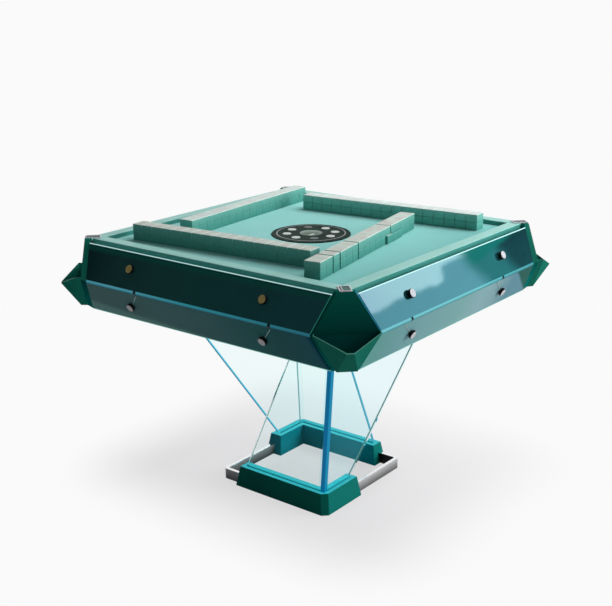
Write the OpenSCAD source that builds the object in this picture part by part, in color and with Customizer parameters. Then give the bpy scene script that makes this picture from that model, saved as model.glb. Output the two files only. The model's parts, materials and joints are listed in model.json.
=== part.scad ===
// Square games table with a drawer in each side, carried by two leaning pairs of glass legs.
// X and Y run along the sides and Z is up. The origin is on the floor under the table's centre.
// The four sides are front (-Y), right (+X), back (+Y) and left (-X).
// The four corners are front (+X -Y), right (+X +Y), back (-X +Y) and left (-X -Y).

/* [Body] */
// Height of the rim's top above the floor
table_h = 768; // [745:1:790]
// Height of the whole body, from the rim's top to the lower edge of the drawer glass
body_h = 200; // [190:1:215]
// How far the rim stands above the upper glass edge
rim_proud = 8; // [5:0.5:12]
// Height of the upper sloping glass
belt_drop = 97; // [88:1:104]
// Half the width at the belt, the widest line of the body
belt_half = 515; // [505:1:530]
// How far the upper glass edge stands in from the belt
eave_in = 49; // [42:1:54]
// How far the lower glass edge stands in from the belt
foot_in = 46; // [40:1:50]
// Corner taken off the upper glass edge, measured along a side
eave_cut = 42; // [36:1:50]
// Corner taken off the belt, measured along a side
belt_cut = 122; // [110:1:135]
// Corner taken off the lower glass edge, measured along a side
foot_cut = 46; // [40:0.5:56]

/* [Glass] */
// Thickness of the body's glass panes
pane_t = 8; // [6:0.5:9]
// Gap between a pane's end and the corner pocket
pane_end_gap = 3; // [2.5:0.5:6]
// Height of the lit strip on the upper glass edge
eave_light_h = 3; // [3:0.5:8]
// Height of the lit belt strip above the belt line, along the glass
belt_light_up = 5.5; // [4:0.5:8]
// Depth of the lit belt strip below the belt line
belt_light_down = 4; // [3:0.5:6]

/* [Field and rim] */
// Depth of the playing field below the rim's top
field_drop = 13; // [10:0.5:16]
// Distance from the upper glass edge in to the rim
rim_setback = 16.5; // [14:0.5:22]
// Width of a rim rail
rim_w = 38; // [32:1:46]
// Corner taken off the rim's outer edge
rim_cut_out = 24; // [20:1:30]
// Corner taken off the rim's inner edge
rim_cut_in = 30; // [24:1:36]
// Bevel on the rim's upper edges
rim_bevel = 1.5; // [0.5:0.5:3]
// Thickness of the field's mat
mat_t = 2; // [1.5:0.5:4]
// Thickness of the board under the mat
board_t = 18; // [15:1:22]
// Width of the dark ledge outside the rim
ledge_w = 9.5; // [8:0.5:11]
// Thickness of the silver corner plates
plate_t = 2.5; // [2:0.5:4]
// Width of a corner plate
plate_w = 31; // [27:1:36]
// Length of a corner plate along the diagonal
plate_l = 44; // [40:1:48]

/* [Drawers] */
// Depth of a drawer's box, front to back
drawer_d = 180; // [160:1:190]
// Gap between a drawer's side and the back of the next drawer
drawer_gap = 13; // [8:0.5:20]
// Gap between a drawer's walls and the rails above them
drawer_top_gap = 20; // [14:1:28]
// Thickness of a drawer's walls
drawer_wall = 8; // [6:0.5:12]
// Thickness of a drawer's bottom
drawer_floor = 4; // [3:0.5:6]
// Gap between a drawer's front wall and the body's front edge line
drawer_setback = 14; // [12:0.5:20]
// Thickness of a runner's sheet metal
runner_t = 3; // [2:0.5:4]
// Width of the ledge that a drawer's bottom slides on
runner_ledge = 18; // [14:1:24]
// Height of a runner
runner_h = 46; // [36:1:56]

/* [Knobs] */
// Distance from a drawer's side in to its knobs
knob_inset = 29; // [20:1:40]
// Diameter of a knob
knob_d = 24; // [20:1:26]
// Length of a knob from the glass to its end
knob_l = 11; // [9:0.5:18]
// Diameter of the neck under a knob
knob_neck_d = 15; // [12:0.5:18]
// Length of the neck under a knob
knob_neck_l = 3; // [2:0.5:4]
// Diameter of a knob's screw
screw_d = 8; // [6:0.5:9]
// Length of the screw inside its barrel
screw_grip = 18; // [14:1:22]
// Diameter of the barrels that stand the glass off its frame
barrel_d = 16; // [13:0.5:18]
// Height of the upper knobs above the belt
knob_rise = 53; // [46:1:60]
// Depth of the lower knobs below the belt
knob_fall = 47; // [42:1:55]
// Distance along a side from a knob's line to its belt clip
clip_shift = 30; // [20:1:40]

/* [Corner pockets] */
// Thickness of a pocket's sheet
pocket_t = 2; // [1.5:0.5:3]
// How far a pocket's face plate stands out from the body's corner
pocket_proud = 13; // [8:0.5:16]
// How far a pocket's face plate stands in from the body's corner edges
pocket_in = 4; // [2:0.5:6]
// Height of a pocket's widest line above the belt
pocket_rise = 5; // [2:0.5:8]
// Height of the corners of a pocket's mouth above its widest line
pocket_lip_rise = 5.5; // [3:0.5:9]
// How far the corners of a pocket's mouth stand out from its face plate
pocket_wing = 16; // [8:1:22]
// How far a pocket's nose stands out from the belt corner, along the diagonal
pocket_out = 74; // [60:1:85]
// Drop from the belt to the pocket's nose
pocket_dip = 23; // [16:1:30]
// Half the width of a pocket's nose
pocket_nose = 9.2; // [7:0.2:14]
// How far a pocket's bottom fold stands out from the lower corner, along the diagonal
pocket_low_out = 32; // [26:1:38]
// Half the width of a pocket's bottom fold
pocket_low_half = 25; // [20:1:30]
// Rise of a pocket's bottom fold above the lower glass edge
pocket_low_rise = 9; // [5:0.5:12]

/* [Console] */
// Diameter of the round console
console_d = 229; // [215:1:240]
// How far the console stands above the field
console_proud = 2.5; // [1.5:0.5:4]
// Thickness of the console's cap
console_cap_t = 12; // [11:0.5:15]
// Diameter of the console's column
console_column_d = 150; // [146:1:160]
// How far the console lifts
console_lift = 50; // [40:1:55]
// Radial gap between the console and the board
console_gap = 1; // [0.6:0.1:1.6]
// Diameter of a button
button_d = 25; // [22:0.5:27]
// Radius of the circle of buttons
button_ring_r = 70; // [68:0.5:74]
// How far a button stands proud
button_proud = 1.6; // [1:0.1:2.2]
// Length of a button
button_l = 8; // [7:0.5:8.5]
// Travel of a button
button_travel = 2; // [1:0.1:2.4]
// Outer diameter of the silver console ring
ring_d = 202; // [198:0.5:208]
// Width of the silver console ring
ring_w = 4; // [3:0.5:5]
// Diameter of the dice window
window_d = 62; // [58:1:66]
// Height of the dice window's crown
window_h = 5; // [3:0.5:8]
// Size of a die
die_size = 9; // [8:0.5:10]
// Diameter of the console's guide rods
rod_d = 10; // [8:0.5:12]

/* [Mixing drum] */
// Gap between the drum and the drawers' backs
drum_clear = 50; // [40:1:70]
// Height of the drum's wall
drum_h = 58; // [45:1:62]
// Thickness of the drum's sheet
drum_t = 3; // [2.5:0.5:5]
// Diameter of the drum's spindle
spindle_d = 12; // [10:0.5:16]
// Diameter of the drum's motor
motor_d = 90; // [80:1:110]
// Height of the drum's motor
motor_h = 20; // [16:0.5:22]
// Gap between the drum and the console's bridge
drum_gap = 24; // [18:1:26]

/* [Legs and base] */
// Thickness of the leg glass
leg_t = 12; // [10:0.5:14]
// Half the distance between the leg panes at the top of the base blocks
leg_half = 181; // [175:1:188]
// Outward lean of the wide panes, as a share of their height
wide_lean_share = 0.163; // [0.14:0.001:0.18]
// Outward lean of the narrow panes, as a share of their height
narrow_lean_share = 0.135; // [0.11:0.001:0.15]
// Length of a narrow pane's foot past the centre line
narrow_foot = 104; // [95:1:112]
// Slope of a narrow pane's free edge, as a share of its height
narrow_slope_share = 0.52; // [0.45:0.01:0.56]
// Distance of a wide pane's free foot from the centre line
wide_foot = 62; // [52:1:72]
// Slope of a wide pane's free edge, as a share of its height
wide_slope_share = 0.68; // [0.6:0.01:0.72]
// Depth of the leg glass in its top sockets
leg_grip = 25; // [20:1:26]
// Width of the square bar in a leg corner
corner_bar_w = 14; // [12:0.5:16]
// Height of the base blocks
block_h = 62.4; // [56:0.1:70]
// How far the blocks reach out from the middle of the leg glass, on the floor
block_side_out = 28; // [25:1:32]
// How far the blocks reach in from the middle of the leg glass, on the floor
block_side_in = 29; // [26:1:32]
// How far the outer block faces lean in from floor to top
block_batter = 8.5; // [6:0.5:10]
// How far a block's long arm runs past the foot of its glass, on the floor
block_end_long = 25; // [20:1:30]
// How far a block's short arm runs past the foot of its glass, on the floor
block_end_short = 28; // [22:1:32]
// Slant of the arm ends from floor to top
block_end_slant = 12; // [8:1:16]
// Outer corner taken off a block
block_cut = 16; // [12:1:20]
// Width of the light strip round the leg glass
slot_light_w = 22; // [20:1:26]
// Height of the light strip round the leg glass
slot_light_h = 6; // [4:0.5:8]
// How far the floor ring's outer face stands out from the middle of the leg glass
ring_side = 12; // [10:1:14]
// Width of the floor ring's bar
ring_bar = 12; // [10:1:14]
// Height of the floor ring
ring_h = 33; // [28:1:34]
// Outer corner radius of the floor ring
ring_r = 14; // [13:1:18]

/* [Frame] */
// Thickness of the body's floor plate
floor_t = 4; // [3:0.5:6]
// Width of the square corner posts
post_w = 40; // [34:1:46]
// Thickness of the rails behind the upper glass
rail_t = 12; // [10:1:16]
// Distance from the body's front edge line to the rails' outer face
rail_setback = 18; // [16:1:22]
// Height of the leg sockets under the floor plate
socket_h = 34; // [28:1:40]
// Width of the leg sockets
socket_w = 36; // [32:1:42]
// Gap between the leg glass's foot and the floor ring
leg_foot_gap = 3; // [2:0.5:5]
// Width of the power inlet
inlet_w = 50; // [46:1:56]
// Height of the power inlet
inlet_h = 28; // [26:1:32]
// Depth of the power inlet
inlet_d = 32; // [28:1:38]
// Distance of the power inlet from the body's lower edge
inlet_setback = 150; // [120:5:160]

/* [Tiles] */
// Number of stacks in a wall
wall_stacks = 17; // [16:1:18]
// Width of a tile along the wall, as a share of the field's half width
tile_w_share = 0.0843; // [0.078:0.0001:0.086]
// Length of a tile across the wall, as a share of the field's half width
tile_l_share = 0.1106; // [0.102:0.0001:0.116]
// Thickness of a tile, as a share of the field's half width
tile_t_share = 0.0566; // [0.051:0.0001:0.06]
// Gap between neighbouring tiles
tile_gap = 0.3; // [0.2:0.1:0.5]
// Gap where a wall has been pushed apart
wall_break = 6; // [4:0.5:8]
// How far the slipped tiles stand out of a wall
tile_slip = 5; // [2:0.5:8]

/* [Hidden] */
$fn = 64;
// Everyday clearance between neighbouring pieces
fit = 0.3;
// Radial clearance of a running fit
run = 0.05;
// Overrun of every cutting body
over = 5;
// Length of a soft bevel on small round pieces
soft = 1;

eave_half = belt_half - eave_in;
foot_half = belt_half - foot_in;
rim_half = eave_half - rim_setback;

z_base = table_h - body_h;
z_eave = table_h - rim_proud;
z_belt = z_eave - belt_drop;
z_field = table_h - field_drop;
z_board_top = z_field - mat_t;
z_board = z_board_top - board_t;
z_floor = z_base + floor_t;
field_half = rim_half - rim_w;
board_half = rim_half + ledge_w;

eave = [eave_half, z_eave];
belt = [belt_half, z_belt];
foot = [foot_half, z_base];
upper_len = norm(eave - belt);
lower_len = norm(belt - foot);
upper_rise = upper_len / belt_drop;

// Cross-section of the lit belt strip: its top follows the upper glass, its lower edge is level
belt_up = (eave - belt) / upper_len;
belt_top_out = belt + belt_light_up * belt_up;
belt_top_in = belt_top_out - pane_t * [belt_up[1], -belt_up[0]];
z_belt_low = z_belt - belt_light_down;
belt_low_out = belt_half - belt_light_down * (belt_half - foot_half) / (z_belt - z_base);

// Distances of the body's corner planes from the centre, along a diagonal
function corner_reach(half, cut) = (2 * half - cut) / sqrt(2);
function cut_for_reach(half, reach) = 2 * half - reach * sqrt(2);
eave_reach = corner_reach(eave_half, eave_cut);
belt_reach = corner_reach(belt_half, belt_cut);
foot_reach = corner_reach(foot_half, foot_cut);
crown_z = table_h - fit;
crown_share = (crown_z - z_belt) / belt_drop;
crown_reach = belt_reach + (eave_reach - belt_reach) * crown_share;
crown_half = (belt_cut + (eave_cut - belt_cut) * crown_share) / sqrt(2);
board_top_reach = belt_reach + (eave_reach - belt_reach) * (z_board_top - z_belt) / belt_drop;

floor_half = foot_half - pane_t - rail_t / 4;
rail_half = foot_half - rail_setback - fit;
rail_in = rail_half - rail_t;
post_c = rail_in - post_w / 2;
z_rail = z_belt_low + fit;

drawer_front = foot_half - drawer_setback;
drawer_back = drawer_front - drawer_d;
drawer_half = drawer_back - drawer_gap;
knob_half = drawer_half - knob_inset;
z_drawer = z_floor + runner_t + fit;
drawer_h = z_rail - z_drawer - drawer_top_gap;
z_drawer_pane = z_belt_low - soft;

block_out = leg_half + block_side_out;
block_in = leg_half - block_side_in;
block_long = narrow_foot + block_end_long;
block_short = wide_foot - block_end_short;
ring_half = leg_half + ring_side;
z_leg_foot = ring_h + leg_foot_gap;
z_leg_top = z_base - socket_h + leg_grip;
leg_rise = z_leg_top - block_h;
bar_half = corner_bar_w / 2 + fit;

z_console = z_field + console_proud;
z_cap = z_console - console_cap_t;
hole_r = console_d / 2 + console_gap;
drum_d = 2 * (drawer_back - drum_clear);
z_drum = z_floor + motor_h + fit;
z_bridge = z_drum + drum_h + drum_gap;
bridge_t = 8;
bridge_w = 40;
bridge_margin = 30;
bridge_half = console_d / 2 + console_gap + bridge_margin;
z_column = z_bridge + bridge_t + fit;
rod_x = (window_d / 2 + button_ring_r - button_d / 2) / 2;
z_rod_top = z_cap + console_cap_t / 3;
well_r = window_d / 2;
well_floor = z_console - die_size - window_h - soft;

tile_w = field_half * tile_w_share;
tile_l = field_half * tile_l_share;
tile_t = field_half * tile_t_share;

// Places of the tile walls as shares of the field's half width, and their turns in degrees
wall_place_shares = [[-0.164, -0.743], [0.585, -0.19], [0.162, 0.744], [-0.729, 0.158]];
wall_turns = [5.3, 100.8, 186.1, 275];
// Stacks after which a wall has been pushed apart, for each wall's lower and upper row
wall_breaks = [[[], []], [[2, 3, 6, 11], [2, 3, 6, 12]], [[], []], [[], []]];
// First and last stack of the slipped lower tiles, for each wall
wall_slips = [[0, -1], [11, 13], [0, -1], [0, -1]];

// Places: a side is drawn as the front side and turned, a corner is drawn along +X and turned
module side(k) rotate([0, 0, 90 * k]) children();
module corner(k) rotate([0, 0, 90 * k - 45]) children();
module mirrored_x() {
  children();
  mirror([1, 0, 0]) children();
}

// Local frame on a sloping side: X along the side, Y up the slope, Z outward
module on_slope(low, high) {
  translate([0, -low[0], low[1]])
    rotate([atan2(high[1] - low[1], low[0] - high[0]), 0, 0])
      children();
}

function at_share(a, b, t) = a + (b - a) * t;

// A pane between two heights on a slope, its ends following the body's corners
module sloped_pane(low, high, low_end, high_end, from, to) {
  len = norm(high - low);
  on_slope(low, high)
    translate([0, 0, -pane_t])
      linear_extrude(pane_t)
        polygon([
          [-at_share(low_end, high_end, from / len), from],
          [at_share(low_end, high_end, from / len), from],
          [at_share(low_end, high_end, to / len), to],
          [-at_share(low_end, high_end, to / len), to]
        ]);
}

module cut_square(half, cut) {
  a = half - cut;
  polygon([[-a, -half], [a, -half], [half, -a], [half, a], [a, half], [-a, half], [-half, a], [-half, -a]]);
}

module round_square(half, r) {
  square([2 * half, 2 * (half - r)], center = true);
  square([2 * (half - r), 2 * half], center = true);
  for (x = [-1, 1], y = [-1, 1]) translate([x * (half - r), y * (half - r)]) circle(r);
}

module hull_of(points) hull() polyhedron(points, [[for (i = [0:len(points) - 1]) i]]);

// Base

module base_ring_bar(grow) {
  translate([0, 0, -grow])
    linear_extrude(ring_h + 2 * grow)
      difference() {
        round_square(ring_half + grow, ring_r + grow);
        round_square(ring_half - ring_bar - grow, ring_r - ring_bar + soft);
      }
}

module base_ring() {
  color("gainsboro") base_ring_bar(0);
}

// A leg pane in its own leaning plane: X along the foot, Y up the lean, Z outward.
// near and far are the pane's two ends at the top of the block, with their slopes up the lean.
module leaning_pane(lean, near, near_slope, far, far_slope, z0, z1, t) {
  stretch = norm([1, lean]);
  low = (z0 - block_h) * stretch;
  high = (z1 - block_h) * stretch;
  translate([0, -leg_half, block_h])
    rotate([90 + atan(lean), 0, 0])
      translate([0, 0, -t / 2])
        linear_extrude(t)
          polygon([
            [near + near_slope * (z0 - block_h), low],
            [far + far_slope * (z0 - block_h), low],
            [far + far_slope * (z1 - block_h), high],
            [near + near_slope * (z1 - block_h), high]
          ]);
}

// Narrow pane on the front side, with its corner on the right; grow widens it for the slots it sits in
module narrow_pane(z0, z1, grow, bar_gap) {
  leaning_pane(narrow_lean_share, -narrow_foot - grow, narrow_slope_share, leg_half - bar_gap + grow,
    wide_lean_share, z0 - grow, z1 + grow, leg_t + 2 * grow);
}

// Wide pane on the right side, drawn as a front side and turned
module wide_pane(z0, z1, grow, bar_gap) {
  side(1)
    leaning_pane(wide_lean_share, -leg_half + bar_gap - grow, -narrow_lean_share, -wide_foot + grow,
      wide_slope_share, z0 - grow, z1 + grow, leg_t + 2 * grow);
}

// Square bar where two leg panes meet, leaning with both
module leg_corner_bar(z0, z1, grow) {
  h = corner_bar_w / 2 + grow;
  hull_of([
    for (z = [z0 - grow, z1 + grow], sx = [-1, 1], sy = [-1, 1])
      [
        leg_half + wide_lean_share * (z - block_h) + sx * h,
        -leg_half - narrow_lean_share * (z - block_h) + sy * h,
        z
      ]
  ]);
}

module leg_glass_space(grow) {
  narrow_pane(z_leg_foot, z_leg_top, grow, 0);
  wide_pane(z_leg_foot, z_leg_top, grow, 0);
  leg_corner_bar(z_leg_foot, z_leg_top, grow);
}

// L-shaped block: its two arms share the cut outer corner, and each is a tapered bar
module block_body() {
  top_out = block_out - block_batter;
  top_in = block_in + block_batter;
  cut_top = block_cut - soft;
  hull_of([
    [-block_long, -block_out, 0], [block_out - block_cut, -block_out, 0], [block_out, block_cut - block_out, 0],
    [block_out, -block_in, 0], [-block_long, -block_in, 0],
    [block_end_slant - block_long, -top_out, block_h], [top_out - cut_top, -top_out, block_h],
    [top_out, cut_top - top_out, block_h], [top_out, -top_in, block_h],
    [block_end_slant - block_long, -top_in, block_h]
  ]);
  hull_of([
    [block_out - block_cut, -block_out, 0], [block_out, block_cut - block_out, 0], [block_out, -block_short, 0],
    [block_in, -block_short, 0], [block_in, -block_out, 0],
    [top_out - cut_top, -top_out, block_h], [top_out, cut_top - top_out, block_h],
    [top_out, -block_short - block_end_slant, block_h], [top_in, -block_short - block_end_slant, block_h],
    [top_in, -top_out, block_h]
  ]);
}

module slot_light_plan(w) {
  translate([-narrow_foot - soft, -leg_half - w / 2]) square([leg_half + narrow_foot + soft + w / 2, w]);
  translate([leg_half - w / 2, -leg_half - w / 2]) square([w, leg_half - wide_foot + soft + w / 2]);
}

module base_block() {
  difference() {
    block_body();
    base_ring_bar(fit);
    leg_glass_space(fit);
    translate([0, 0, block_h - slot_light_h - fit])
      linear_extrude(slot_light_h + over)
        slot_light_plan(slot_light_w + 2 * fit);
  }
}

module base_block_front() {
  color("teal") base_block();
}

module base_block_back() {
  color("teal") side(2) base_block();
}

module slot_light() {
  difference() {
    translate([0, 0, block_h - slot_light_h])
      linear_extrude(slot_light_h + fit)
        slot_light_plan(slot_light_w);
    leg_glass_space(fit);
  }
}

module leg_pane_narrow(k) {
  color("lightcyan") side(k) narrow_pane(z_leg_foot, z_leg_top, 0, bar_half);
}

module leg_pane_wide(k) {
  color("lightcyan") side(k) wide_pane(z_leg_foot, z_leg_top, 0, bar_half);
}

module leg_corner_bars() {
  color("steelblue") for (k = [0, 2]) side(k) leg_corner_bar(z_leg_foot, z_leg_top, 0);
}

// Channels under the floor plate that take the heads of the leg glass
module leg_socket() {
  top_x = leg_half + wide_lean_share * leg_rise;
  top_y = leg_half + narrow_lean_share * leg_rise;
  near_x = -narrow_foot + narrow_slope_share * leg_rise;
  far_y = -wide_foot + wide_slope_share * leg_rise;
  w = socket_w;
  z = z_base - socket_h;
  difference() {
    translate([0, 0, z])
      linear_extrude(socket_h - fit) {
        translate([near_x - w / 2, -top_y - w / 2]) square([top_x - near_x + w, w]);
        translate([top_x - w / 2, -top_y - w / 2]) square([w, top_y + far_y + w]);
      }
    leg_glass_space(fit);
  }
}

module leg_sockets() {
  color("darkslategray") for (k = [0, 2]) side(k) leg_socket();
}

// Body

module floor_plate() {
  color("dimgray")
    translate([0, 0, z_base])
      linear_extrude(floor_t)
        cut_square(floor_half, cut_for_reach(floor_half, foot_reach - pocket_t - fit));
}

// Three-pin power inlet under the floor plate, facing the back
module power_inlet() {
  wall = inlet_w / 10;
  pin = wall / 2;
  pitch = inlet_w / 5;
  z_mid = z_base - inlet_h / 2;
  color("black")
    translate([0, foot_half - inlet_setback - inlet_d, 0]) {
      difference() {
        translate([-inlet_w / 2, 0, z_base - inlet_h]) cube([inlet_w, inlet_d, inlet_h]);
        translate([0, inlet_d + over, z_mid])
          rotate([90, 0, 0])
            linear_extrude(inlet_d - wall + over)
              polygon([
                [wall - inlet_w / 2, wall - inlet_h / 2], [inlet_w / 2 - wall, wall - inlet_h / 2],
                [inlet_w / 2 - wall, 0], [inlet_w / 2 - 2 * wall, inlet_h / 2 - wall],
                [2 * wall - inlet_w / 2, inlet_h / 2 - wall], [wall - inlet_w / 2, 0]
              ]);
      }
      for (p = [[-pitch, 0], [0, pin], [pitch, 0]])
        translate([p[0] - pin / 2, wall - soft, z_mid + p[1] - pin]) cube([pin, inlet_d - 3 * wall, 2 * pin]);
    }
}

// Barrels that stand a pane off the frame, with a bore for the knob's screw
module pane_barrels(low, high, up, frame_half) {
  run_in = (at_share(low[0], high[0], up / norm(high - low)) - frame_half) / sin(atan2(high[1] - low[1],
    abs(low[0] - high[0]))) + rail_t / 2;
  for (x = [-knob_half, knob_half])
    on_slope(low, high)
      translate([x, up, -pane_t - run_in])
        cylinder(d = barrel_d, h = run_in);
}

module screw_bores(low, high, up, r, deep) {
  for (x = [-knob_half, knob_half])
    on_slope(low, high)
      translate([x, up, -pane_t - deep])
        cylinder(r = r, h = deep + pane_t + over);
}

upper_knob_up = knob_rise * upper_rise;
lower_knob_up = lower_len - knob_fall * lower_len / (z_belt - z_base);

module frame_rail() {
  end = sqrt(2) * (foot_reach - pocket_t - over) - rail_half;
  difference() {
    union() {
      translate([-end, -rail_half, z_rail]) cube([2 * end, rail_t, z_board - fit - z_rail]);
      intersection() {
        pane_barrels(belt, eave, upper_knob_up, rail_half);
        translate([-belt_half, -belt_half, z_rail]) cube([2 * belt_half, belt_half - rail_in, belt_drop]);
      }
      for (x = [-knob_half, knob_half])
        translate([x - barrel_d / 2, fit - belt_top_in[0], z_rail])
          cube([barrel_d, belt_top_in[0] - fit - rail_in, belt_light_down]);
    }
    screw_bores(belt, eave, upper_knob_up, screw_d / 2 + fit, screw_grip + fit);
  }
}

module frame_post() {
  translate([post_c - post_w / 2 - fit, -post_c - post_w / 2 + fit, z_floor])
    difference() {
      cube([post_w, post_w, z_board - fit - z_floor]);
      translate([rail_t / 4, rail_t / 4, -over])
        cube([post_w - rail_t / 2, post_w - rail_t / 2, z_board - z_floor + 2 * over]);
    }
}

module body_frame() {
  color("darkslategray")
    for (k = [0:3]) side(k) {
      frame_rail();
      frame_post();
    }
}

// Angle runner: a foot on the floor plate, a web beside the drawer and a ledge under it
module drawer_runner() {
  x = drawer_half + fit;
  translate([0, -drawer_front, z_floor]) {
    translate([x, 0, 0]) cube([runner_t, drawer_d, runner_h]);
    translate([x - runner_ledge, 0, 0]) cube([runner_ledge + runner_t, drawer_d, runner_t]);
  }
}

module drawer_runners() {
  color("silver") for (k = [0:3]) side(k) mirrored_x() drawer_runner();
}

module table_board() {
  color("darkslategray")
    translate([0, 0, z_board])
      linear_extrude(board_t)
        difference() {
          cut_square(board_half, cut_for_reach(board_half, board_top_reach - pocket_t - fit));
          circle(hole_r);
        }
}

module playing_mat() {
  color("mediumaquamarine")
    translate([0, 0, z_board_top])
      linear_extrude(mat_t)
        difference() {
          cut_square(field_half - fit, rim_cut_in);
          circle(hole_r);
        }
}

// Mitred rim rail: a bevelled bar cut to the footprint of one side
module rim_rail() {
  outer_end = rim_half - rim_cut_out;
  inner_end = field_half - rim_cut_in;
  outer_mitre = rim_half - rim_cut_out / 2;
  inner_mitre = field_half - rim_cut_in / 2;
  b = rim_bevel;
  h = table_h - z_board_top;
  intersection() {
    translate([-rim_half, 0, 0])
      rotate([90, 0, 90])
        linear_extrude(2 * rim_half)
          polygon([
            [-rim_half, z_board_top], [-field_half, z_board_top], [-field_half, table_h - b],
            [-field_half - b, table_h], [b - rim_half, table_h], [-rim_half, table_h - b]
          ]);
    translate([0, 0, z_board_top])
      linear_extrude(h)
        polygon([
          [-outer_end, -rim_half], [outer_end, -rim_half],
          [outer_mitre - fit / 2, -outer_mitre - fit / 2], [inner_mitre - fit / 2, -inner_mitre - fit / 2],
          [inner_end, -field_half], [-inner_end, -field_half],
          [fit / 2 - inner_mitre, -inner_mitre - fit / 2], [fit / 2 - outer_mitre, -outer_mitre - fit / 2]
        ]);
  }
}

module rim_rails() {
  color("mediumaquamarine") for (k = [0:3]) side(k) rim_rail();
}

// Plate across a rim corner, flush with the pocket's face, with two slots
module corner_plate() {
  end = crown_reach + pocket_proud;
  long_slot = plate_w * 0.58;
  short_slot = plate_w * 0.14;
  bridge = plate_w * 0.07;
  margin = (plate_w - long_slot - short_slot - bridge) / 2;
  difference() {
    translate([end - plate_l, -plate_w / 2, table_h]) cube([plate_l, plate_w, plate_t]);
    translate([end - plate_l + margin, margin - plate_w / 2, table_h + soft])
      cube([plate_l - 2 * margin, short_slot, plate_t]);
    translate([end - plate_l + margin, margin + short_slot + bridge - plate_w / 2, table_h + soft])
      cube([plate_l - 2 * margin, long_slot, plate_t]);
  }
}

module corner_plates() {
  color("silver") for (k = [0:3]) corner(k) corner_plate();
}

// Upper glass, held by two capped screws
module apron_pane(k) {
  color("darkslategray")
    side(k)
      difference() {
        sloped_pane(belt, eave, belt_half - belt_cut - pane_end_gap, eave_half - eave_cut - pane_end_gap,
          belt_light_up, upper_len - eave_light_h);
        screw_bores(belt, eave, upper_knob_up, screw_d / 2 + fit, over);
      }
}

// Knob on its screw, drawn along Z with the glass face at zero
module knob() {
  rotate_extrude()
    polygon([
      [0, -pane_t - screw_grip], [screw_d / 2, -pane_t - screw_grip], [screw_d / 2, 0], [knob_neck_d / 2, 0],
      [knob_neck_d / 2, knob_neck_l], [knob_d / 2 - soft, knob_neck_l], [knob_d / 2, knob_neck_l + soft],
      [knob_d / 2, knob_l - soft], [knob_d / 2 - soft, knob_l], [0, knob_l]
    ]);
}

module knob_pair(low, high, up) {
  for (x = [-knob_half, knob_half])
    on_slope(low, high)
      translate([x, up, 0])
        knob();
}

module apron_caps() {
  color("goldenrod") for (k = [0:3]) side(k) knob_pair(belt, eave, upper_knob_up);
}

// Lit strips: one on each upper glass edge, and one along each side of the belt
module eave_light() {
  sloped_pane(belt, eave, belt_half - belt_cut - pane_end_gap, eave_half - eave_cut - pane_end_gap,
    upper_len - eave_light_h, upper_len);
}

module belt_light_profile() {
  polygon([
    [-belt[0], belt[1]], [-belt_top_out[0], belt_top_out[1]], [-belt_top_in[0], belt_top_in[1]],
    [-belt_top_in[0], z_belt_low], [-belt_low_out, z_belt_low]
  ]);
}

module along_side(half) {
  translate([-half, 0, 0]) rotate([90, 0, 90]) linear_extrude(2 * half) children();
}

// Lit strips on the glass edges, and round the leg glass in the base blocks
module light_strips() {
  color("paleturquoise") {
    for (k = [0:3]) side(k) {
      eave_light();
      along_side(belt_half - belt_cut - pane_end_gap) belt_light_profile();
    }
    for (k = [0, 2]) side(k) slot_light();
  }
}

// Clips that hug the belt strip near the knobs
module belt_clip() {
  translate([barrel_d / 4, 0, 0])
    along_side(barrel_d / 4)
      polygon([
        [-belt[0], belt[1]], [-belt_top_out[0], belt_top_out[1]], [-belt_top_out[0] - soft, belt_top_out[1]],
        [-belt[0] - soft, belt[1]], [-belt_low_out - soft, z_belt_low], [-belt_low_out, z_belt_low]
      ]);
}

module belt_clips() {
  color("black")
    for (k = [0:3], x = [-knob_half, knob_half])
      side(k)
        translate([x + (k % 2 == 0 ? clip_shift : -clip_shift), 0, 0])
          belt_clip();
}

// Folded corner pocket: a shallow six-sided box over the body's corner, with a scoop on its face.
// Drawn along a diagonal: X outward, Y across.
module both_w(list) {
  hull_of([for (p = list, s = [-1, 1]) [p[0], s * p[1], p[2]]]);
}

belt_w = belt_cut / sqrt(2);
foot_w = foot_cut / sqrt(2);

// The box: t is how far inside its outer faces the form lies, and back is how far behind the corner it starts
module pocket_box(t, back) {
  both_w([
    [crown_reach - back, crown_half - t, crown_z - t],
    [belt_reach - back, belt_w - t, z_belt],
    [foot_reach - back, foot_w - t, z_base + t],
    [crown_reach + pocket_proud - t, crown_half - pocket_in - t, crown_z - t],
    [belt_reach + pocket_proud - t, belt_w - pocket_in - t, z_belt + pocket_rise],
    [foot_reach + pocket_proud - t, foot_w - pocket_in - t, z_base + pocket_low_rise + t]
  ]);
}

module pocket_scoop(t, lift) {
  z_wide = z_belt + pocket_rise;
  z_mouth = z_wide + pocket_lip_rise;
  z_nose = z_belt - pocket_dip;
  root = t > 0 ? 0 : pocket_t;
  lean = pocket_lip_rise / (crown_z - z_wide);
  face = belt_reach + pocket_proud;
  face_up = face - (belt_reach - crown_reach) * lean;
  wide = belt_w - pocket_in;
  wide_up = wide - (belt_w - crown_half) * lean;
  both_w([
    [face_up - root, wide_up - t, z_mouth + lift],
    [face + pocket_wing - t / 2, wide - 1.1 * t, z_mouth + lift],
    [belt_reach + pocket_out - 1.3 * t, pocket_nose - t / 3, z_nose + lift],
    [face_up - root, wide_up - t, z_mouth],
    [face + pocket_wing - t / 2, wide - 1.1 * t, z_mouth],
    [belt_reach + pocket_out - 1.3 * t, pocket_nose - t / 3, z_nose],
    [face - root, wide - t, z_wide],
    [foot_reach + pocket_low_out - t, pocket_low_half - t / 2, z_base + pocket_low_rise + t],
    [foot_reach + pocket_proud - root + t / 4, foot_w - pocket_in - t, z_base + pocket_low_rise + t]
  ]);
}

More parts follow.
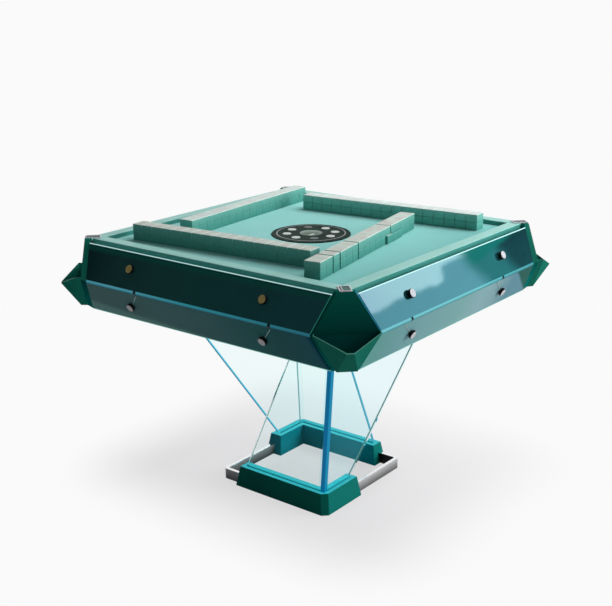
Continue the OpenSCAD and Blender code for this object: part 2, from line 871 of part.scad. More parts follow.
module pocket(k) {
  color("darkgreen")
    corner(k) {
      difference() {
        pocket_box(0, pocket_t);
        pocket_box(pocket_t, over);
      }
      difference() {
        pocket_scoop(0, 0);
        pocket_scoop(pocket_t, over);
      }
    }
}

// Drawers

module drawer_box(k) {
  inner = drawer_half - drawer_wall;
  color("saddlebrown")
    side(k)
      difference() {
        union() {
          difference() {
            translate([-drawer_half, -drawer_front, z_drawer]) cube([2 * drawer_half, drawer_d, drawer_h]);
            translate([-inner, drawer_wall - drawer_front, z_drawer + drawer_floor])
              cube([2 * inner, drawer_d - 2 * drawer_wall, drawer_h]);
          }
          intersection() {
            pane_barrels(foot, belt, lower_knob_up, drawer_front);
            translate([-belt_half, -belt_half, z_drawer]) cube([2 * belt_half, belt_half - drawer_front + soft, drawer_h]);
          }
        }
        screw_bores(foot, belt, lower_knob_up, screw_d / 2 + fit, screw_grip + fit);
      }
}

module drawer_pane(k) {
  color("cadetblue")
    side(k)
      difference() {
        sloped_pane(foot, belt, foot_half - foot_cut - pane_end_gap, belt_half - belt_cut - pane_end_gap,
          0, lower_len);
        screw_bores(foot, belt, lower_knob_up, screw_d / 2 + fit, over);
        translate([-belt_half, -belt_half - over, z_drawer_pane]) cube([2 * belt_half, belt_cut, belt_drop]);
      }
}

module drawer_knobs(k) {
  color("silver") side(k) knob_pair(foot, belt, lower_knob_up);
}

// Console

module console_body() {
  r = console_d / 2;
  color("black")
    difference() {
      rotate_extrude($fn = 96)
        polygon([
          [0, z_column], [console_column_d / 2, z_column], [console_column_d / 2, z_cap], [r, z_cap],
          [r, z_console - soft], [r - soft, z_console], [0, z_console]
        ]);
      for (i = [0:7]) rotate([0, 0, 45 * i])
        translate([button_ring_r, 0, z_console + button_proud - button_l - button_travel - soft])
          cylinder(d = button_d + 2 * run, h = console_cap_t + over);
      translate([0, 0, well_floor]) cylinder(r = well_r, h = console_cap_t + over);
      translate([0, 0, well_floor - die_size]) cylinder(d = die_size + 2 * run, h = die_size + over);
      translate([0, 0, z_console - soft])
        difference() {
          cylinder(d = ring_d + 2 * run, h = over);
          translate([0, 0, -over]) cylinder(d = ring_d - 2 * ring_w - 2 * run, h = 3 * over);
        }
      for (x = [-rod_x, rod_x])
        translate([x, 0, z_column - over]) cylinder(d = rod_d + 2 * run, h = z_rod_top + fit - z_column + over);
    }
}

module console_ring() {
  color("silver")
    translate([0, 0, z_console - soft])
      difference() {
        cylinder(d = ring_d, h = 1.8 * soft);
        translate([0, 0, -over]) cylinder(d = ring_d - 2 * ring_w, h = 3 * over);
      }
}

// Turning plate that throws the dice, on a stub shaft in the console
module dice_plate() {
  color("dimgray")
    translate([0, 0, well_floor + fit]) {
      cylinder(r = well_r - soft, h = drum_t - soft);
      translate([0, 0, fit - die_size]) cylinder(d = die_size, h = die_size - fit);
    }
}

module dice() {
  color("white")
    for (s = [-1, 1])
      rotate([0, 0, 70 * s])
        translate([die_size * 0.8, 0, well_floor + fit + drum_t - soft])
          translate([-die_size / 2, -die_size / 2, 0]) cube(die_size);
}

// Clear crown over the dice, a shell of one arc
module dice_window() {
  flange = window_d / 2 + ring_w / 2;
  crown_r = (window_d * window_d / 4 + window_h * window_h) / (2 * window_h);
  steps = 12;
  reach = asin(window_d / 2 / crown_r);
  arc = [for (i = [0:steps]) reach * (1 - i / steps)];
  z0 = z_console + soft;
  color("lightgray")
    rotate_extrude()
      polygon(concat(
        [[flange, z_console], [flange, z0]],
        [for (a = arc) [crown_r * sin(a), z0 + crown_r * (cos(a) - cos(reach))]],
        [for (i = [steps:-1:0]) [(crown_r - soft) * sin(arc[i]), z0 - soft + crown_r * (cos(arc[i]) - cos(reach))]]
      ));
}

module button(i) {
  color(i == 3 || i == 7 ? "gray" : "whitesmoke")
    rotate([0, 0, 45 * i])
      translate([button_ring_r, 0, z_console + button_proud - button_l])
        rotate_extrude()
          polygon([
            [0, 0], [button_d / 2, 0], [button_d / 2, button_l - soft / 2], [button_d / 2 - soft / 2, button_l],
            [0, button_l]
          ]);
}

// Cross bar hung under the board, with the two rods that guide the console
module lift_bridge() {
  color("silver") {
    translate([-bridge_half, -bridge_w / 2, z_bridge]) cube([2 * bridge_half, bridge_w, bridge_t]);
    mirrored_x()
      translate([bridge_half - bridge_t, -bridge_w / 2, z_bridge])
        cube([bridge_t, bridge_w, z_board - fit - z_bridge]);
    for (x = [-rod_x, rod_x]) translate([x, 0, z_bridge]) cylinder(d = rod_d, h = z_rod_top - z_bridge);
  }
}

// Drum that mixes the tiles: an open bowl with paddles, on the motor's spindle
module mixing_drum() {
  r = drum_d / 2;
  hub = spindle_d + drum_t;
  color("slategray")
    difference() {
      union() {
        translate([0, 0, z_drum])
          rotate_extrude($fn = 96)
            polygon([
              [0, 0], [r - 4 * drum_t, 0], [r, 4 * drum_t], [r, drum_h], [r - drum_t, drum_h],
              [r - drum_t, 5 * drum_t], [r - 5 * drum_t, drum_t], [0, drum_t]
            ]);
        translate([0, 0, z_drum]) cylinder(r = hub, h = drum_h / 3);
        for (a = [0:90:270]) rotate([0, 0, a])
          translate([hub - soft, -drum_t / 2, z_drum + soft]) cube([r * 0.72, drum_t, drum_h / 4]);
      }
      translate([0, 0, z_drum - over]) cylinder(d = spindle_d + 2 * run, h = drum_h);
    }
}

module drum_motor() {
  color("dimgray")
    translate([0, 0, z_floor])
      rotate_extrude()
        polygon([
          [0, 0], [motor_d / 2 + 2 * drum_t, 0], [motor_d / 2 + 2 * drum_t, drum_t], [motor_d / 2, drum_t],
          [motor_d / 2, motor_h - soft], [motor_d / 2 - soft, motor_h], [spindle_d / 2, motor_h],
          [spindle_d / 2, motor_h + drum_h / 3], [0, motor_h + drum_h / 3]
        ]);
}

// Tiles

function break_sum(list, i) = len([for (b = list) if (b <= i) b]) * wall_break;

module tile_wall(k) {
  pitch = tile_w + tile_gap;
  total = wall_stacks * pitch - tile_gap + len(wall_breaks[k][0]) * wall_break;
  color("darkseagreen")
    translate([wall_place_shares[k][0] * field_half, wall_place_shares[k][1] * field_half, z_field])
      rotate([0, 0, wall_turns[k]])
        for (i = [0:wall_stacks - 1], row = [0, 1]) {
          slipped = row == 0 && i >= wall_slips[k][0] && i <= wall_slips[k][1];
          translate([
            i * pitch + break_sum(wall_breaks[k][row], i) - total / 2,
            -tile_l / 2 - (slipped ? tile_slip : 0),
            row * (tile_t + tile_gap / 3)
          ])
            cube([tile_w, tile_l, tile_t]);
        }
}

base_ring();
base_block_front();
base_block_back();
leg_pane_narrow(0);  // leg_pane_front
leg_pane_wide(0);  // leg_pane_right
leg_pane_narrow(2);  // leg_pane_back
leg_pane_wide(2);  // leg_pane_left
leg_corner_bars();
leg_sockets();
floor_plate();
power_inlet();
body_frame();
drawer_runners();
table_board();
playing_mat();
rim_rails();
corner_plates();
apron_pane(0);  // apron_pane_front
apron_pane(1);  // apron_pane_right
apron_pane(2);  // apron_pane_back
apron_pane(3);  // apron_pane_left
apron_caps();
light_strips();
belt_clips();
pocket(0);  // pocket_front
pocket(1);  // pocket_right
pocket(2);  // pocket_back
pocket(3);  // pocket_left
drawer_box(0);  // drawer_box_front
drawer_box(1);  // drawer_box_right
drawer_box(2);  // drawer_box_back
drawer_box(3);  // drawer_box_left
drawer_pane(0);  // drawer_pane_front
drawer_pane(1);  // drawer_pane_right
drawer_pane(2);  // drawer_pane_back
drawer_pane(3);  // drawer_pane_left
drawer_knobs(0);  // drawer_knobs_front
drawer_knobs(1);  // drawer_knobs_right
drawer_knobs(2);  // drawer_knobs_back
drawer_knobs(3);  // drawer_knobs_left
console_body();
console_ring();
dice_plate();
dice_window();
dice();
button(0);  // button_1
button(1);  // button_2
button(2);  // button_3
button(3);  // button_4
button(4);  // button_5
button(5);  // button_6
button(6);  // button_7
button(7);  // button_8
lift_bridge();
mixing_drum();
drum_motor();
tile_wall(0);  // tile_wall_front
tile_wall(1);  // tile_wall_right
tile_wall(2);  // tile_wall_back
tile_wall(3);  // tile_wall_left
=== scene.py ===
"""Looks for the games table: bevelled glass and lacquer, lit edges, tiles and felt, in a pale studio."""

import json
import math

import bmesh
import bpy
from mathutils import Matrix, Vector


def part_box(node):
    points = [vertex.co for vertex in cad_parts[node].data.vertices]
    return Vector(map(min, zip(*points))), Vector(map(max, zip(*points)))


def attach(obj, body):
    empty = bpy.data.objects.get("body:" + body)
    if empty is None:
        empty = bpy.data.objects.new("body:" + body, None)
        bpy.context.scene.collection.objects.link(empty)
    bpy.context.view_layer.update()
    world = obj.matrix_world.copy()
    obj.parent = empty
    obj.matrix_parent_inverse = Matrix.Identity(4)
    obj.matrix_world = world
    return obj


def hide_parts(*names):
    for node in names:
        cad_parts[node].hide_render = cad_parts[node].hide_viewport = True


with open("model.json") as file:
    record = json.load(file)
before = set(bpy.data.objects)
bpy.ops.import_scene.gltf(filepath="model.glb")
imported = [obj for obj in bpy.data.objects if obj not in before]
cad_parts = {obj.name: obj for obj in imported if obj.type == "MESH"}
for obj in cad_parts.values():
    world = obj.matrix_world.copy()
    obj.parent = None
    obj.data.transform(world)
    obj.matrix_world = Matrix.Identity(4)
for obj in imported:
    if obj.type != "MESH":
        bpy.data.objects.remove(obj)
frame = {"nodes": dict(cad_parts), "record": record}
NODES = frame["nodes"]
BODY = {n: b for b, ns in frame["record"]["behaviour"]["bodies"].items() for n in ns}
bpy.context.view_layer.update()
scene = bpy.context.scene

# Directions: a side's own, the way along it, and the side that shares its pair of legs
SIDES = ("front", "right", "back", "left")
OUTWARD = (Vector((0, -1, 0)), Vector((1, 0, 0)), Vector((0, 1, 0)), Vector((-1, 0, 0)))
ACROSS = [OUTWARD[(k + 1) % 4] for k in range(4)]
TOWARD_PAIR = [OUTWARD[k ^ 1] for k in range(4)]
UPRIGHT = Vector((0, 0, 1))
X_WAY = (1, 0, 0)
Y_WAY = (0, 1, 0)
Z_WAY = (0, 0, 1)

# Sides whose glass lies in shade: front and left
SHADED = (0, 3)
# Sides whose legs are in the pair that stands nearer the camera: front and right
NEAR_LEGS = (0, 1)

# Heights and reaches from the frame, in metres
RING_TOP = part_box("base_ring")[1].z
BLOCK_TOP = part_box("base_block_front")[1].z
PLATE_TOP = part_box("corner_plates")[1].z
RIM_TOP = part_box("rim_rails")[1].z
MAT_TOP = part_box("playing_mat")[1].z
TILE_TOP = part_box("tile_wall_front")[1].z
PANE_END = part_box("drawer_pane_front")[1].x
# Middle of the belt, between the lower glass's upper edge and the upper glass's lower edge
BELT_Z = (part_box("drawer_pane_front")[1].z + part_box("apron_pane_front")[0].z) / 2
# Upper end of the pockets' dark inside
INSIDE_TOP = BELT_Z + 0.011


def srgb(r, g, b):
    """8-bit screen colour to the linear colour that nodes use."""
    out = []
    for v in (r, g, b):
        v /= 255
        out.append(v / 12.92 if v <= 0.04045 else ((v + 0.055) / 1.055) ** 2.4)
    return (*out, 1.0)


def tones(*stops):
    """Stops of a ramp, each a place from 0 to 1 and an 8-bit screen colour."""
    return [(place, srgb(*color)) for place, *color in stops]


# Materials

MAT = {}
# Grains of the noise, in waves to a metre
WAVE_GRAIN = 25
GLASS_GRAIN = 40
GLOSS_GRAIN = 60
HAIRLINE_GRAIN = 240
FROST_GRAIN = 300
PEEL_GRAIN = 900
FINE_GRAIN = 1400
FIBRE_GRAIN = 1700
# Most of a noise's values lie in this span
NOISE_SPAN = (0.3, 0.7)
# Share of soft drift in a tone that changes along a way
DRIFT_SHARE = 0.14


def add_node(tree, kind, values=None, **settings):
    """A shader node with its settings and the values of its sockets."""
    n = tree.nodes.new(kind)
    for name, value in settings.items():
        setattr(n, name, value)
    for socket, value in (values or {}).items():
        n.inputs[socket].default_value = value
    return n


class Look:
    """A Principled material, kept in MAT under its name, with a few helpers for its nodes."""

    def __init__(self, name, color, rough=0.4, metal=0.0, ior=1.5, spec=0.5):
        mat = bpy.data.materials.new(name)
        mat.use_nodes = True
        self.tree = mat.node_tree
        self.shader = self.tree.nodes["Principled BSDF"]
        self.put("Base Color", color)
        self.put("Roughness", rough)
        self.put("Metallic", metal)
        self.put("Specular IOR Level", spec)
        self.put("IOR", ior)
        self.space = None
        MAT[name] = mat

    def put(self, socket, value):
        """Sets a socket of the shader."""
        self.shader.inputs[socket].default_value = value

    def node(self, kind, values=None, **settings):
        """A new node of this material."""
        return add_node(self.tree, kind, values, **settings)

    def link(self, a, b):
        """Feeds output a into input b."""
        self.tree.links.new(a, b)

    def coords(self, stretch=(1, 1, 1)):
        """Object coordinates, each axis times its own factor."""
        if self.space is None:
            self.space = self.node("ShaderNodeTexCoord")
        m = self.node("ShaderNodeMapping", {"Scale": stretch})
        self.link(self.space.outputs["Object"], m.inputs["Vector"])
        return m.outputs["Vector"]

    def noise(self, scale, detail=3.0, stretch=(1, 1, 1)):
        """Cloudy factor; scale is its grain."""
        n = self.node("ShaderNodeTexNoise", {"Scale": scale, "Detail": detail, "Roughness": 0.55})
        self.link(self.coords(stretch), n.inputs["Vector"])
        return n.outputs["Fac"]

    def ramp(self, fac, stops):
        """Colour that a factor picks between stops."""
        r = self.node("ShaderNodeValToRGB")
        parts = r.color_ramp.elements
        while len(parts) < len(stops):
            parts.new(0.5)
        for part, (place, color) in zip(parts, stops):
            part.position = place
            part.color = color
        self.link(fac, r.inputs["Fac"])
        return r.outputs["Color"]

    def tint(self, fac, low, high, span=(0.35, 0.65)):
        """Base colour that wanders between two tones."""
        stops = [(span[0], low), (span[1], high)]
        self.link(self.ramp(fac, stops), self.shader.inputs["Base Color"])

    def gloss(self, fac, low, high):
        """Roughness that wanders between two values."""
        m = self.node("ShaderNodeMapRange", {"From Min": NOISE_SPAN[0], "From Max": NOISE_SPAN[1],
                                             "To Min": low, "To Max": high})
        self.link(fac, m.inputs["Value"])
        self.link(m.outputs["Result"], self.shader.inputs["Roughness"])

    def bump(self, fac, strength, depth):
        """Fine relief in the surface."""
        b = self.node("ShaderNodeBump", {"Strength": strength, "Distance": depth})
        self.link(fac, b.inputs["Height"])
        self.link(b.outputs["Normal"], self.shader.inputs["Normal"])

    def along(self, way, low, high):
        """0 to 1 along a direction, from low to high."""
        dot = self.node("ShaderNodeVectorMath", {1: way}, operation="DOT_PRODUCT")
        self.link(self.coords(), dot.inputs[0])
        r = self.node("ShaderNodeMapRange", {"From Min": low, "From Max": high})
        self.link(dot.outputs["Value"], r.inputs["Value"])
        return r.outputs["Result"]

    def stir(self, fac, other, share):
        """One factor with a share of another in it."""
        part = self.node("ShaderNodeMath", {1: share}, operation="MULTIPLY")
        self.link(other, part.inputs[0])
        whole = self.node("ShaderNodeMath", {1: 1 - share}, operation="MULTIPLY_ADD")
        self.link(fac, whole.inputs[0])
        self.link(part.outputs[0], whole.inputs[2])
        return whole.outputs[0]

    def grade(self, way, low, high, stops, grain=7.0):
        """Base colour that changes along a direction, with a soft drift in it."""
        fac = self.stir(self.along(way, low, high), self.noise(grain, 2), DRIFT_SHARE)
        self.link(self.ramp(fac, stops), self.shader.inputs["Base Color"])

    def patch(self, way, low, high, color):
        """Another base colour beyond a place, with a soft edge."""
        mix = self.node("ShaderNodeMix", data_type="RGBA")
        mix.inputs["B"].default_value = color
        base = self.shader.inputs["Base Color"]
        self.link(self.along(way, low, high), mix.inputs["Factor"])
        self.link(base.links[0].from_socket, mix.inputs["A"])
        self.link(mix.outputs["Result"], base)

    def glow(self, color, strength):
        """Even light of the surface's own."""
        self.put("Emission Color", color)
        self.put("Emission Strength", strength)

    def glow_along(self, way, low, high, stops, strength):
        """Emission that changes along a direction."""
        self.link(self.ramp(self.along(way, low, high), stops), self.shader.inputs["Emission Color"])
        self.put("Emission Strength", strength)

    def lamp_clear(self, tint):
        """Lets lamp light through glass, so that it doesn't cast a black shadow."""
        path = self.node("ShaderNodeLightPath")
        clear = self.node("ShaderNodeBsdfTransparent", {"Color": tint})
        mix = self.node("ShaderNodeMixShader")
        self.link(path.outputs["Is Shadow Ray"], mix.inputs["Fac"])
        self.link(self.shader.outputs["BSDF"], mix.inputs[1])
        self.link(clear.outputs["BSDF"], mix.inputs[2])
        self.link(mix.outputs["Shader"], self.tree.nodes["Material Output"].inputs["Surface"])


def lacquer(name, low, high, rough=(0.3, 0.4), spec=0.2, grain=9.0):
    """Sprayed lacquer: a slight orange peel and a soft drift of tone."""
    look = Look(name, srgb(*high), spec=spec)
    look.tint(look.noise(grain, 2), srgb(*low), srgb(*high))
    look.gloss(look.noise(GLOSS_GRAIN, 3), *rough)
    look.bump(look.noise(PEEL_GRAIN, 2), strength=0.06, depth=0.0004)


def graded(name, way, low, high, stops, rough=(0.3, 0.4), spec=0.03, grain=7.0):
    """Lacquer that changes tone along a direction; the changes paint light and shade."""
    look = Look(name, stops[0][1], spec=spec)
    look.grade(way, low, high, stops, grain)
    look.gloss(look.noise(GLOSS_GRAIN, 3), *rough)
    look.bump(look.noise(PEEL_GRAIN, 2), strength=0.05, depth=0.0003)


def chrome(name, color, rough=(0.2, 0.34), stretch=(1, 1, 1)):
    """Polished metal with hairline wear."""
    look = Look(name, srgb(*color), metal=1.0)
    look.gloss(look.noise(HAIRLINE_GRAIN, 4, stretch), *rough)
    look.bump(look.noise(FINE_GRAIN, 2, stretch), strength=0.03, depth=0.0002)


def glow_surface(name, back):
    """A glowing surface: frosted plastic that a light stands behind for the lights, and painted glow and
    painted highlights on some glass edges and a pocket flank.
    """
    look = Look(name, srgb(*back), spec=0.05)
    look.gloss(look.noise(FROST_GRAIN, 2), low=0.3, high=0.42)
    return look


def lit(name, color, strength, back):
    """Glowing surface of one light tone."""
    glow_surface(name, back).glow(srgb(*color), strength)


def lit_along(name, way, strength, back, stops):
    """Glowing surface whose light changes tone along a side."""
    glow_surface(name, back).glow_along(way, -PANE_END, PANE_END, stops, strength)


def felt(name, low, high):
    """Short pile with a fibre speckle."""
    look = Look(name, srgb(*low), rough=0.95)
    pile = look.noise(FINE_GRAIN, 3)
    look.tint(pile, srgb(*low), srgb(*high))
    look.bump(pile, strength=0.3, depth=0.0006)


def clear_glass(name, tint, lamp, painted_reflection=None):
    """Clear glass; lamp is what it leaves of lamp light, and painted_reflection is a faint glow of its own
    that paints a reflection.
    """
    look = Look(name, tint, ior=1.08, spec=0.2)
    look.put("Transmission Weight", 1.0)
    if painted_reflection:
        look.glow(painted_reflection, 1.0)
    look.gloss(look.noise(WAVE_GRAIN, 2), low=0.0, high=0.02)
    look.lamp_clear(lamp)


def make_ring_top():
    """Mirror-polished metal."""
    look = Look("ring_top", srgb(240, 241, 243), metal=1.0)
    look.gloss(look.noise(GLOSS_GRAIN, 2), low=0.12, high=0.2)


def make_pocket_gap():
    """Deep inside of a pocket, with a painted glow of its own."""
    look = Look("pocket_gap", srgb(14, 110, 98), rough=0.5, spec=0.0)
    look.tint(look.noise(20, 2), srgb(10, 100, 88), srgb(16, 112, 98))
    look.glow(srgb(6, 76, 68), 0.6)


def make_field():
    """Short-pile felt with painted light that makes it paler toward the left side, with fibre speckle and
    worn drift.
    """
    end = 0.4
    drift_grain = 3.2
    worn = (0.9, 0.93, 0.93, 1)
    fresh = (1.04, 1.02, 1.02, 1)
    look = Look("field", srgb(126, 192, 182), rough=0.9, spec=0.15)
    fibre = look.noise(FIBRE_GRAIN, 2)
    wear = look.ramp(look.stir(fibre, look.noise(drift_grain, 2), 0.65), [(0.35, worn), (0.65, fresh)])
    # Painted light: paler toward the left side
    tone = look.ramp(look.along(X_WAY, -end, end),
                     tones((0.0, 164, 226, 221), (0.5, 159, 222, 217), (0.8, 148, 213, 208),
                           (1.0, 138, 205, 200)))
    speck = look.node("ShaderNodeMix", data_type="RGBA", blend_type="MULTIPLY")
    speck.inputs["Factor"].default_value = 1.0
    look.link(tone, speck.inputs["A"])
    look.link(wear, speck.inputs["B"])
    look.link(speck.outputs["Result"], look.shader.inputs["Base Color"])
    look.bump(fibre, strength=0.25, depth=0.0006)


def make_upper_glass():
    """Glass painted on its back: a deep tone under a mirror-smooth face; on the shaded sides the tone is
    graded along X as painted reflection.
    """
    deep = srgb(17, 60, 62)
    eave_low = RIM_TOP - 0.029
    eave_high = RIM_TOP - 0.019
    look = Look("apron", deep, ior=1.75)
    look.tint(look.noise(2.0, 2, stretch=(1, 1, 2.5)), deep, srgb(24, 80, 84), span=(0.4, 0.62))
    look.gloss(look.noise(GLASS_GRAIN, 2), low=0.028, high=0.052)
    look = Look("apron_shaded", deep, ior=1.75)
    # Painted reflection: darker toward -X and lighter toward +X, with a greener band under the eave
    look.grade(X_WAY, -PANE_END, PANE_END,
               tones((0.10, 25, 70, 77), (0.22, 43, 97, 96), (0.45, 42, 106, 103), (0.92, 44, 107, 113)),
               grain=4.0)
    look.patch(Z_WAY, eave_low, eave_high, srgb(30, 122, 111))
    look.gloss(look.noise(GLASS_GRAIN, 2), low=0.03, high=0.055)


def make_lower_glass(k, s):
    """Painted drawer glass whose tones carry painted shade and reflection: deeper toward +X or +Y on the
    shaded sides, and paler on the others.
    """
    # Tones of painted shade and reflection for the shaded sides, and paler ones for the lit sides
    shaded = tones((0.10, 107, 153, 152), (0.40, 100, 151, 152), (0.5, 96, 147, 150), (0.6, 85, 141, 144),
                   (0.705, 64, 132, 132), (0.787, 56, 119, 121), (0.87, 51, 118, 128))
    bright = tones((0.10, 116, 184, 178), (0.155, 124, 184, 184), (0.295, 135, 189, 193),
                   (0.5, 142, 195, 194), (0.6, 153, 197, 202), (0.705, 145, 187, 193),
                   (0.787, 104, 157, 174))
    way = X_WAY if s in ("front", "back") else Y_WAY
    look = Look("drawer_glass_" + s, srgb(100, 146, 148), spec=0.008)
    look.grade(way, -PANE_END, PANE_END, shaded if k in SHADED else bright, grain=3.0)
    if s == "front":
        # Painted highlight: a pale wedge along the foot that tapers out near the middle; painted shade: a
        # dark end, wider by the belt
        look.patch(way=(-0.064, 0, -1), low=-0.578, high=-0.566, color=srgb(134, 190, 183))
        look.patch(way=(1, 0, 0.36), low=0.614, high=0.620, color=srgb(2, 96, 118))
    if s == "right":
        # Painted shade: a dark corner by the belt, at the far end
        look.patch(way=(0, 1, 1.43), low=1.232, high=1.246, color=srgb(2, 100, 87))
    look.gloss(look.noise(GLASS_GRAIN, 2), low=0.035, high=0.065)


def make_pockets():
    """Green folds; painted shade darkens the plate downward and painted light brightens the dark inside
    downward.
    """
    plate_foot = BELT_Z - 0.006
    inside_foot = BELT_Z - 0.061
    rough = (0.34, 0.44)
    lacquer("pocket", (32, 124, 106), (40, 134, 116), rough=rough, spec=0.0, grain=7)
    # Painted light: a lighter copy of the pocket lacquer for the left pocket
    lacquer("pocket_painted_light", (32, 140, 120), (40, 152, 132), rough=rough, spec=0.0, grain=7)
    # Painted shade: the plate darkens downward; painted light: the inside brightens downward
    graded("pocket_plate", Z_WAY, plate_foot, RIM_TOP,
           tones((0.08, 8, 80, 74), (0.5, 9, 94, 84), (0.92, 12, 112, 96)), rough=rough, spec=0.0)
    graded("pocket_in", Z_WAY, inside_foot, INSIDE_TOP, tones((0.1, 12, 134, 128), (0.9, 9, 92, 88)),
           rough=(0.4, 0.5), spec=0.0)
    # Painted highlight on the lip round the mouth
    lacquer("pocket_lip_painted_highlight", (88, 158, 140), (100, 170, 152), spec=0.04)
    make_pocket_gap()


def make_tile_sides():
    """Green of the tiles' sides, with painted shade that deepens toward the field; a paler copy of painted
    light for the back wall, and a painted highlight on the bevels, strongest along the top edges.
    """
    foot = MAT_TOP + 0.002
    looks = {
        "tile_side": tones((0.1, 86, 158, 148), (0.5, 100, 170, 160), (0.9, 126, 190, 178)),
        # Painted light: a paler copy for the back wall's sides
        "tile_side_painted_light": tones((0.1, 104, 186, 172), (0.5, 120, 200, 186), (0.9, 150, 216, 204)),
        # Painted highlight on the bevels, strongest along the top edges
        "tile_edge_painted_highlight": tones((0.1, 98, 170, 158), (0.5, 114, 184, 172), (0.84, 140, 206, 194),
                           (0.875, 232, 246, 239)),
    }
    for name, stops in looks.items():
        graded(name, Z_WAY, foot, TILE_TOP, stops, grain=12.0)


# Base: floor ring, blocks and leg glass
make_ring_top()
# Painted reflection and shade: the polished ring's outside is drawn as lacquer that darkens toward the floor,
# its inside darker still, and its inner faces that look to the front side take a painted shadow
graded("ring", Z_WAY, 0.0, RING_TOP, tones((0.1, 100, 98, 98), (0.5, 170, 168, 168), (0.92, 226, 224, 224)),
       rough=(0.25, 0.35), spec=0.2)
graded("ring_in", Z_WAY, 0.0, RING_TOP, tones((0.1, 52, 60, 60), (0.92, 150, 154, 154)), spec=0.1)
lacquer("ring_painted_shadow", (14, 16, 16), (26, 28, 28), spec=0.1, grain=30)
lacquer("block", (14, 130, 124), (22, 142, 132), spec=0.02, grain=6)
# Painted shade: a darker copy of the block lacquer for the front block's faces that look to the front side or
# lie left and look right; painted light: a bluer copy for the same faces of the back block, seen through the
# leg glass
lacquer("block_painted_shade", (8, 108, 98), (14, 120, 106), spec=0.02, grain=6)
lacquer("block_inside_painted_light", (2, 122, 136), (6, 134, 146), spec=0.02, grain=6)
lit("glow_slot", (44, 180, 190), 0.78, (44, 124, 128))
clear_glass("leg", (0.90, 0.985, 0.985, 1), (0.93, 0.98, 0.98, 1))
# Painted reflection: the right leg glass has a faint cyan glow of its own
clear_glass("leg_painted_reflection", (0.84, 0.90, 0.90, 1), (0.93, 0.98, 0.98, 1), painted_reflection=(0.0, 0.034, 0.044, 1))
clear_glass("leg_fringe", (0.62, 0.93, 0.98, 1), (0.8, 0.95, 0.98, 1))
lacquer("edge_grey", (120, 166, 158), (134, 180, 172), rough=(0.2, 0.3), spec=0.1)
# A dark tone of painted shade: the line at the foot of the leg glass, on one face only, and the ends of the
# drawer glass on the shaded sides
lacquer("seal_painted_shade", (2, 70, 84), (6, 84, 98), spec=0.05)
lit("glow_leg", (84, 204, 230), 0.9, (30, 100, 110))
lit("deep_leg", (30, 116, 152), 0.85, (20, 60, 74))
lit("soft_leg", (70, 140, 164), 0.8, (30, 84, 92))
lit("mid_leg", (84, 168, 194), 0.85, (30, 90, 100))
lit("line_green", (108, 168, 174), 0.7, (64, 114, 112))
lit("bar", (4, 104, 150), 0.8, (2, 50, 66))
lit("bar_side", (4, 132, 176), 0.85, (4, 60, 72))

# Body: frame, upper and lower glass, pockets, knobs
lacquer("board", (14, 84, 74), (20, 94, 84), rough=(0.4, 0.5), spec=0.05)
lacquer("dark", (34, 44, 46), (42, 52, 54), rough=(0.4, 0.55))
lacquer("black", (12, 15, 16), (18, 22, 23), rough=(0.4, 0.55), spec=0.1)
chrome("steel", (215, 218, 222), stretch=(1, 1, 6))
make_upper_glass()
for k, s in enumerate(SIDES):
    make_lower_glass(k, s)
# Painted glow on the ends of the upper glass on the shaded sides, a painted highlight along the bevel at the
# drawer glass's foot, and painted glow on the glass edges of the lit sides and on the front pocket's flank
# that looks right
lit("pane_end_painted_glow", (40, 140, 124), 0.5, (20, 90, 80))
lit("arris_painted_highlight", (130, 200, 186), 0.5, (120, 180, 170))
lit("painted_glow_edge", (22, 86, 112), 0.8, (10, 64, 76))
lacquer("edge_green", (10, 92, 84), (16, 104, 96), rough=(0.2, 0.3), spec=0.1)
make_pockets()
lacquer("brass", (206, 184, 108), (222, 200, 124), spec=0.3, grain=60)
lacquer("knob", (216, 210, 214), (228, 222, 226), grain=60)
lacquer("screw", (184, 204, 200), (204, 220, 216), rough=(0.26, 0.36), spec=0.3, grain=80)

# Light strips on the upper glass edge and along the belt
lit("glow_top", (190, 232, 232), 0.7, (150, 190, 190))
# The belt strips are lights; their tones, which change along each side, from side to side and between the
# upper and lower faces, are painted light and shade
lit_along("belt_front", X_WAY, 0.75, (20, 70, 80),
          tones((0.0, 66, 136, 152), (0.14, 78, 150, 166), (0.5, 46, 134, 148), (1.0, 42, 108, 124)))
lit_along("belt_front_low", X_WAY, 0.75, (14, 60, 70),
          tones((0.0, 30, 112, 130), (0.45, 26, 100, 114), (1.0, 18, 80, 94)))
lit_along("belt_right", Y_WAY, 0.62, (40, 90, 96),
          tones((0.0, 136, 218, 226), (0.6, 134, 222, 229), (0.72, 104, 198, 204), (1.0, 70, 166, 172)))
lit_along("belt_right_low", Y_WAY, 0.6, (16, 80, 88),
          tones((0.0, 90, 182, 192), (0.6, 86, 180, 188), (0.75, 52, 142, 152), (1.0, 20, 108, 114)))
lit("belt_back", (92, 188, 194), 0.62, (40, 90, 96))
lit("belt_back_low", (14, 122, 138), 0.6, (16, 80, 88))
lit("belt_left", (40, 146, 176), 0.85, (20, 70, 90))
lit("belt_left_low", (10, 96, 146), 0.85, (14, 60, 80))

# Top: rim, corner plates, field, console and tiles
lacquer("rim_top", (154, 211, 202), (164, 219, 210), rough=(0.34, 0.46), spec=0.1, grain=5)
lacquer("rim_side", (72, 150, 140), (82, 160, 150), spec=0.08, grain=5)
lacquer("silver", (206, 200, 208), (222, 216, 222), rough=(0.28, 0.38), spec=0.4, grain=40)
# Painted shade on the floors of the corner plates' slots
lacquer("slot_floor_painted_shade", (66, 98, 92), (82, 116, 110), rough=(0.4, 0.5), spec=0.1, grain=60)
make_field()
lacquer("console", (34, 48, 44), (46, 60, 55), rough=(0.34, 0.44), spec=0.006)
chrome("console_ring", (112, 120, 117))
lit("button", (202, 208, 203), 0.33, (170, 177, 171))
lit("button_dim", (84, 92, 90), 0.1, (96, 104, 100))
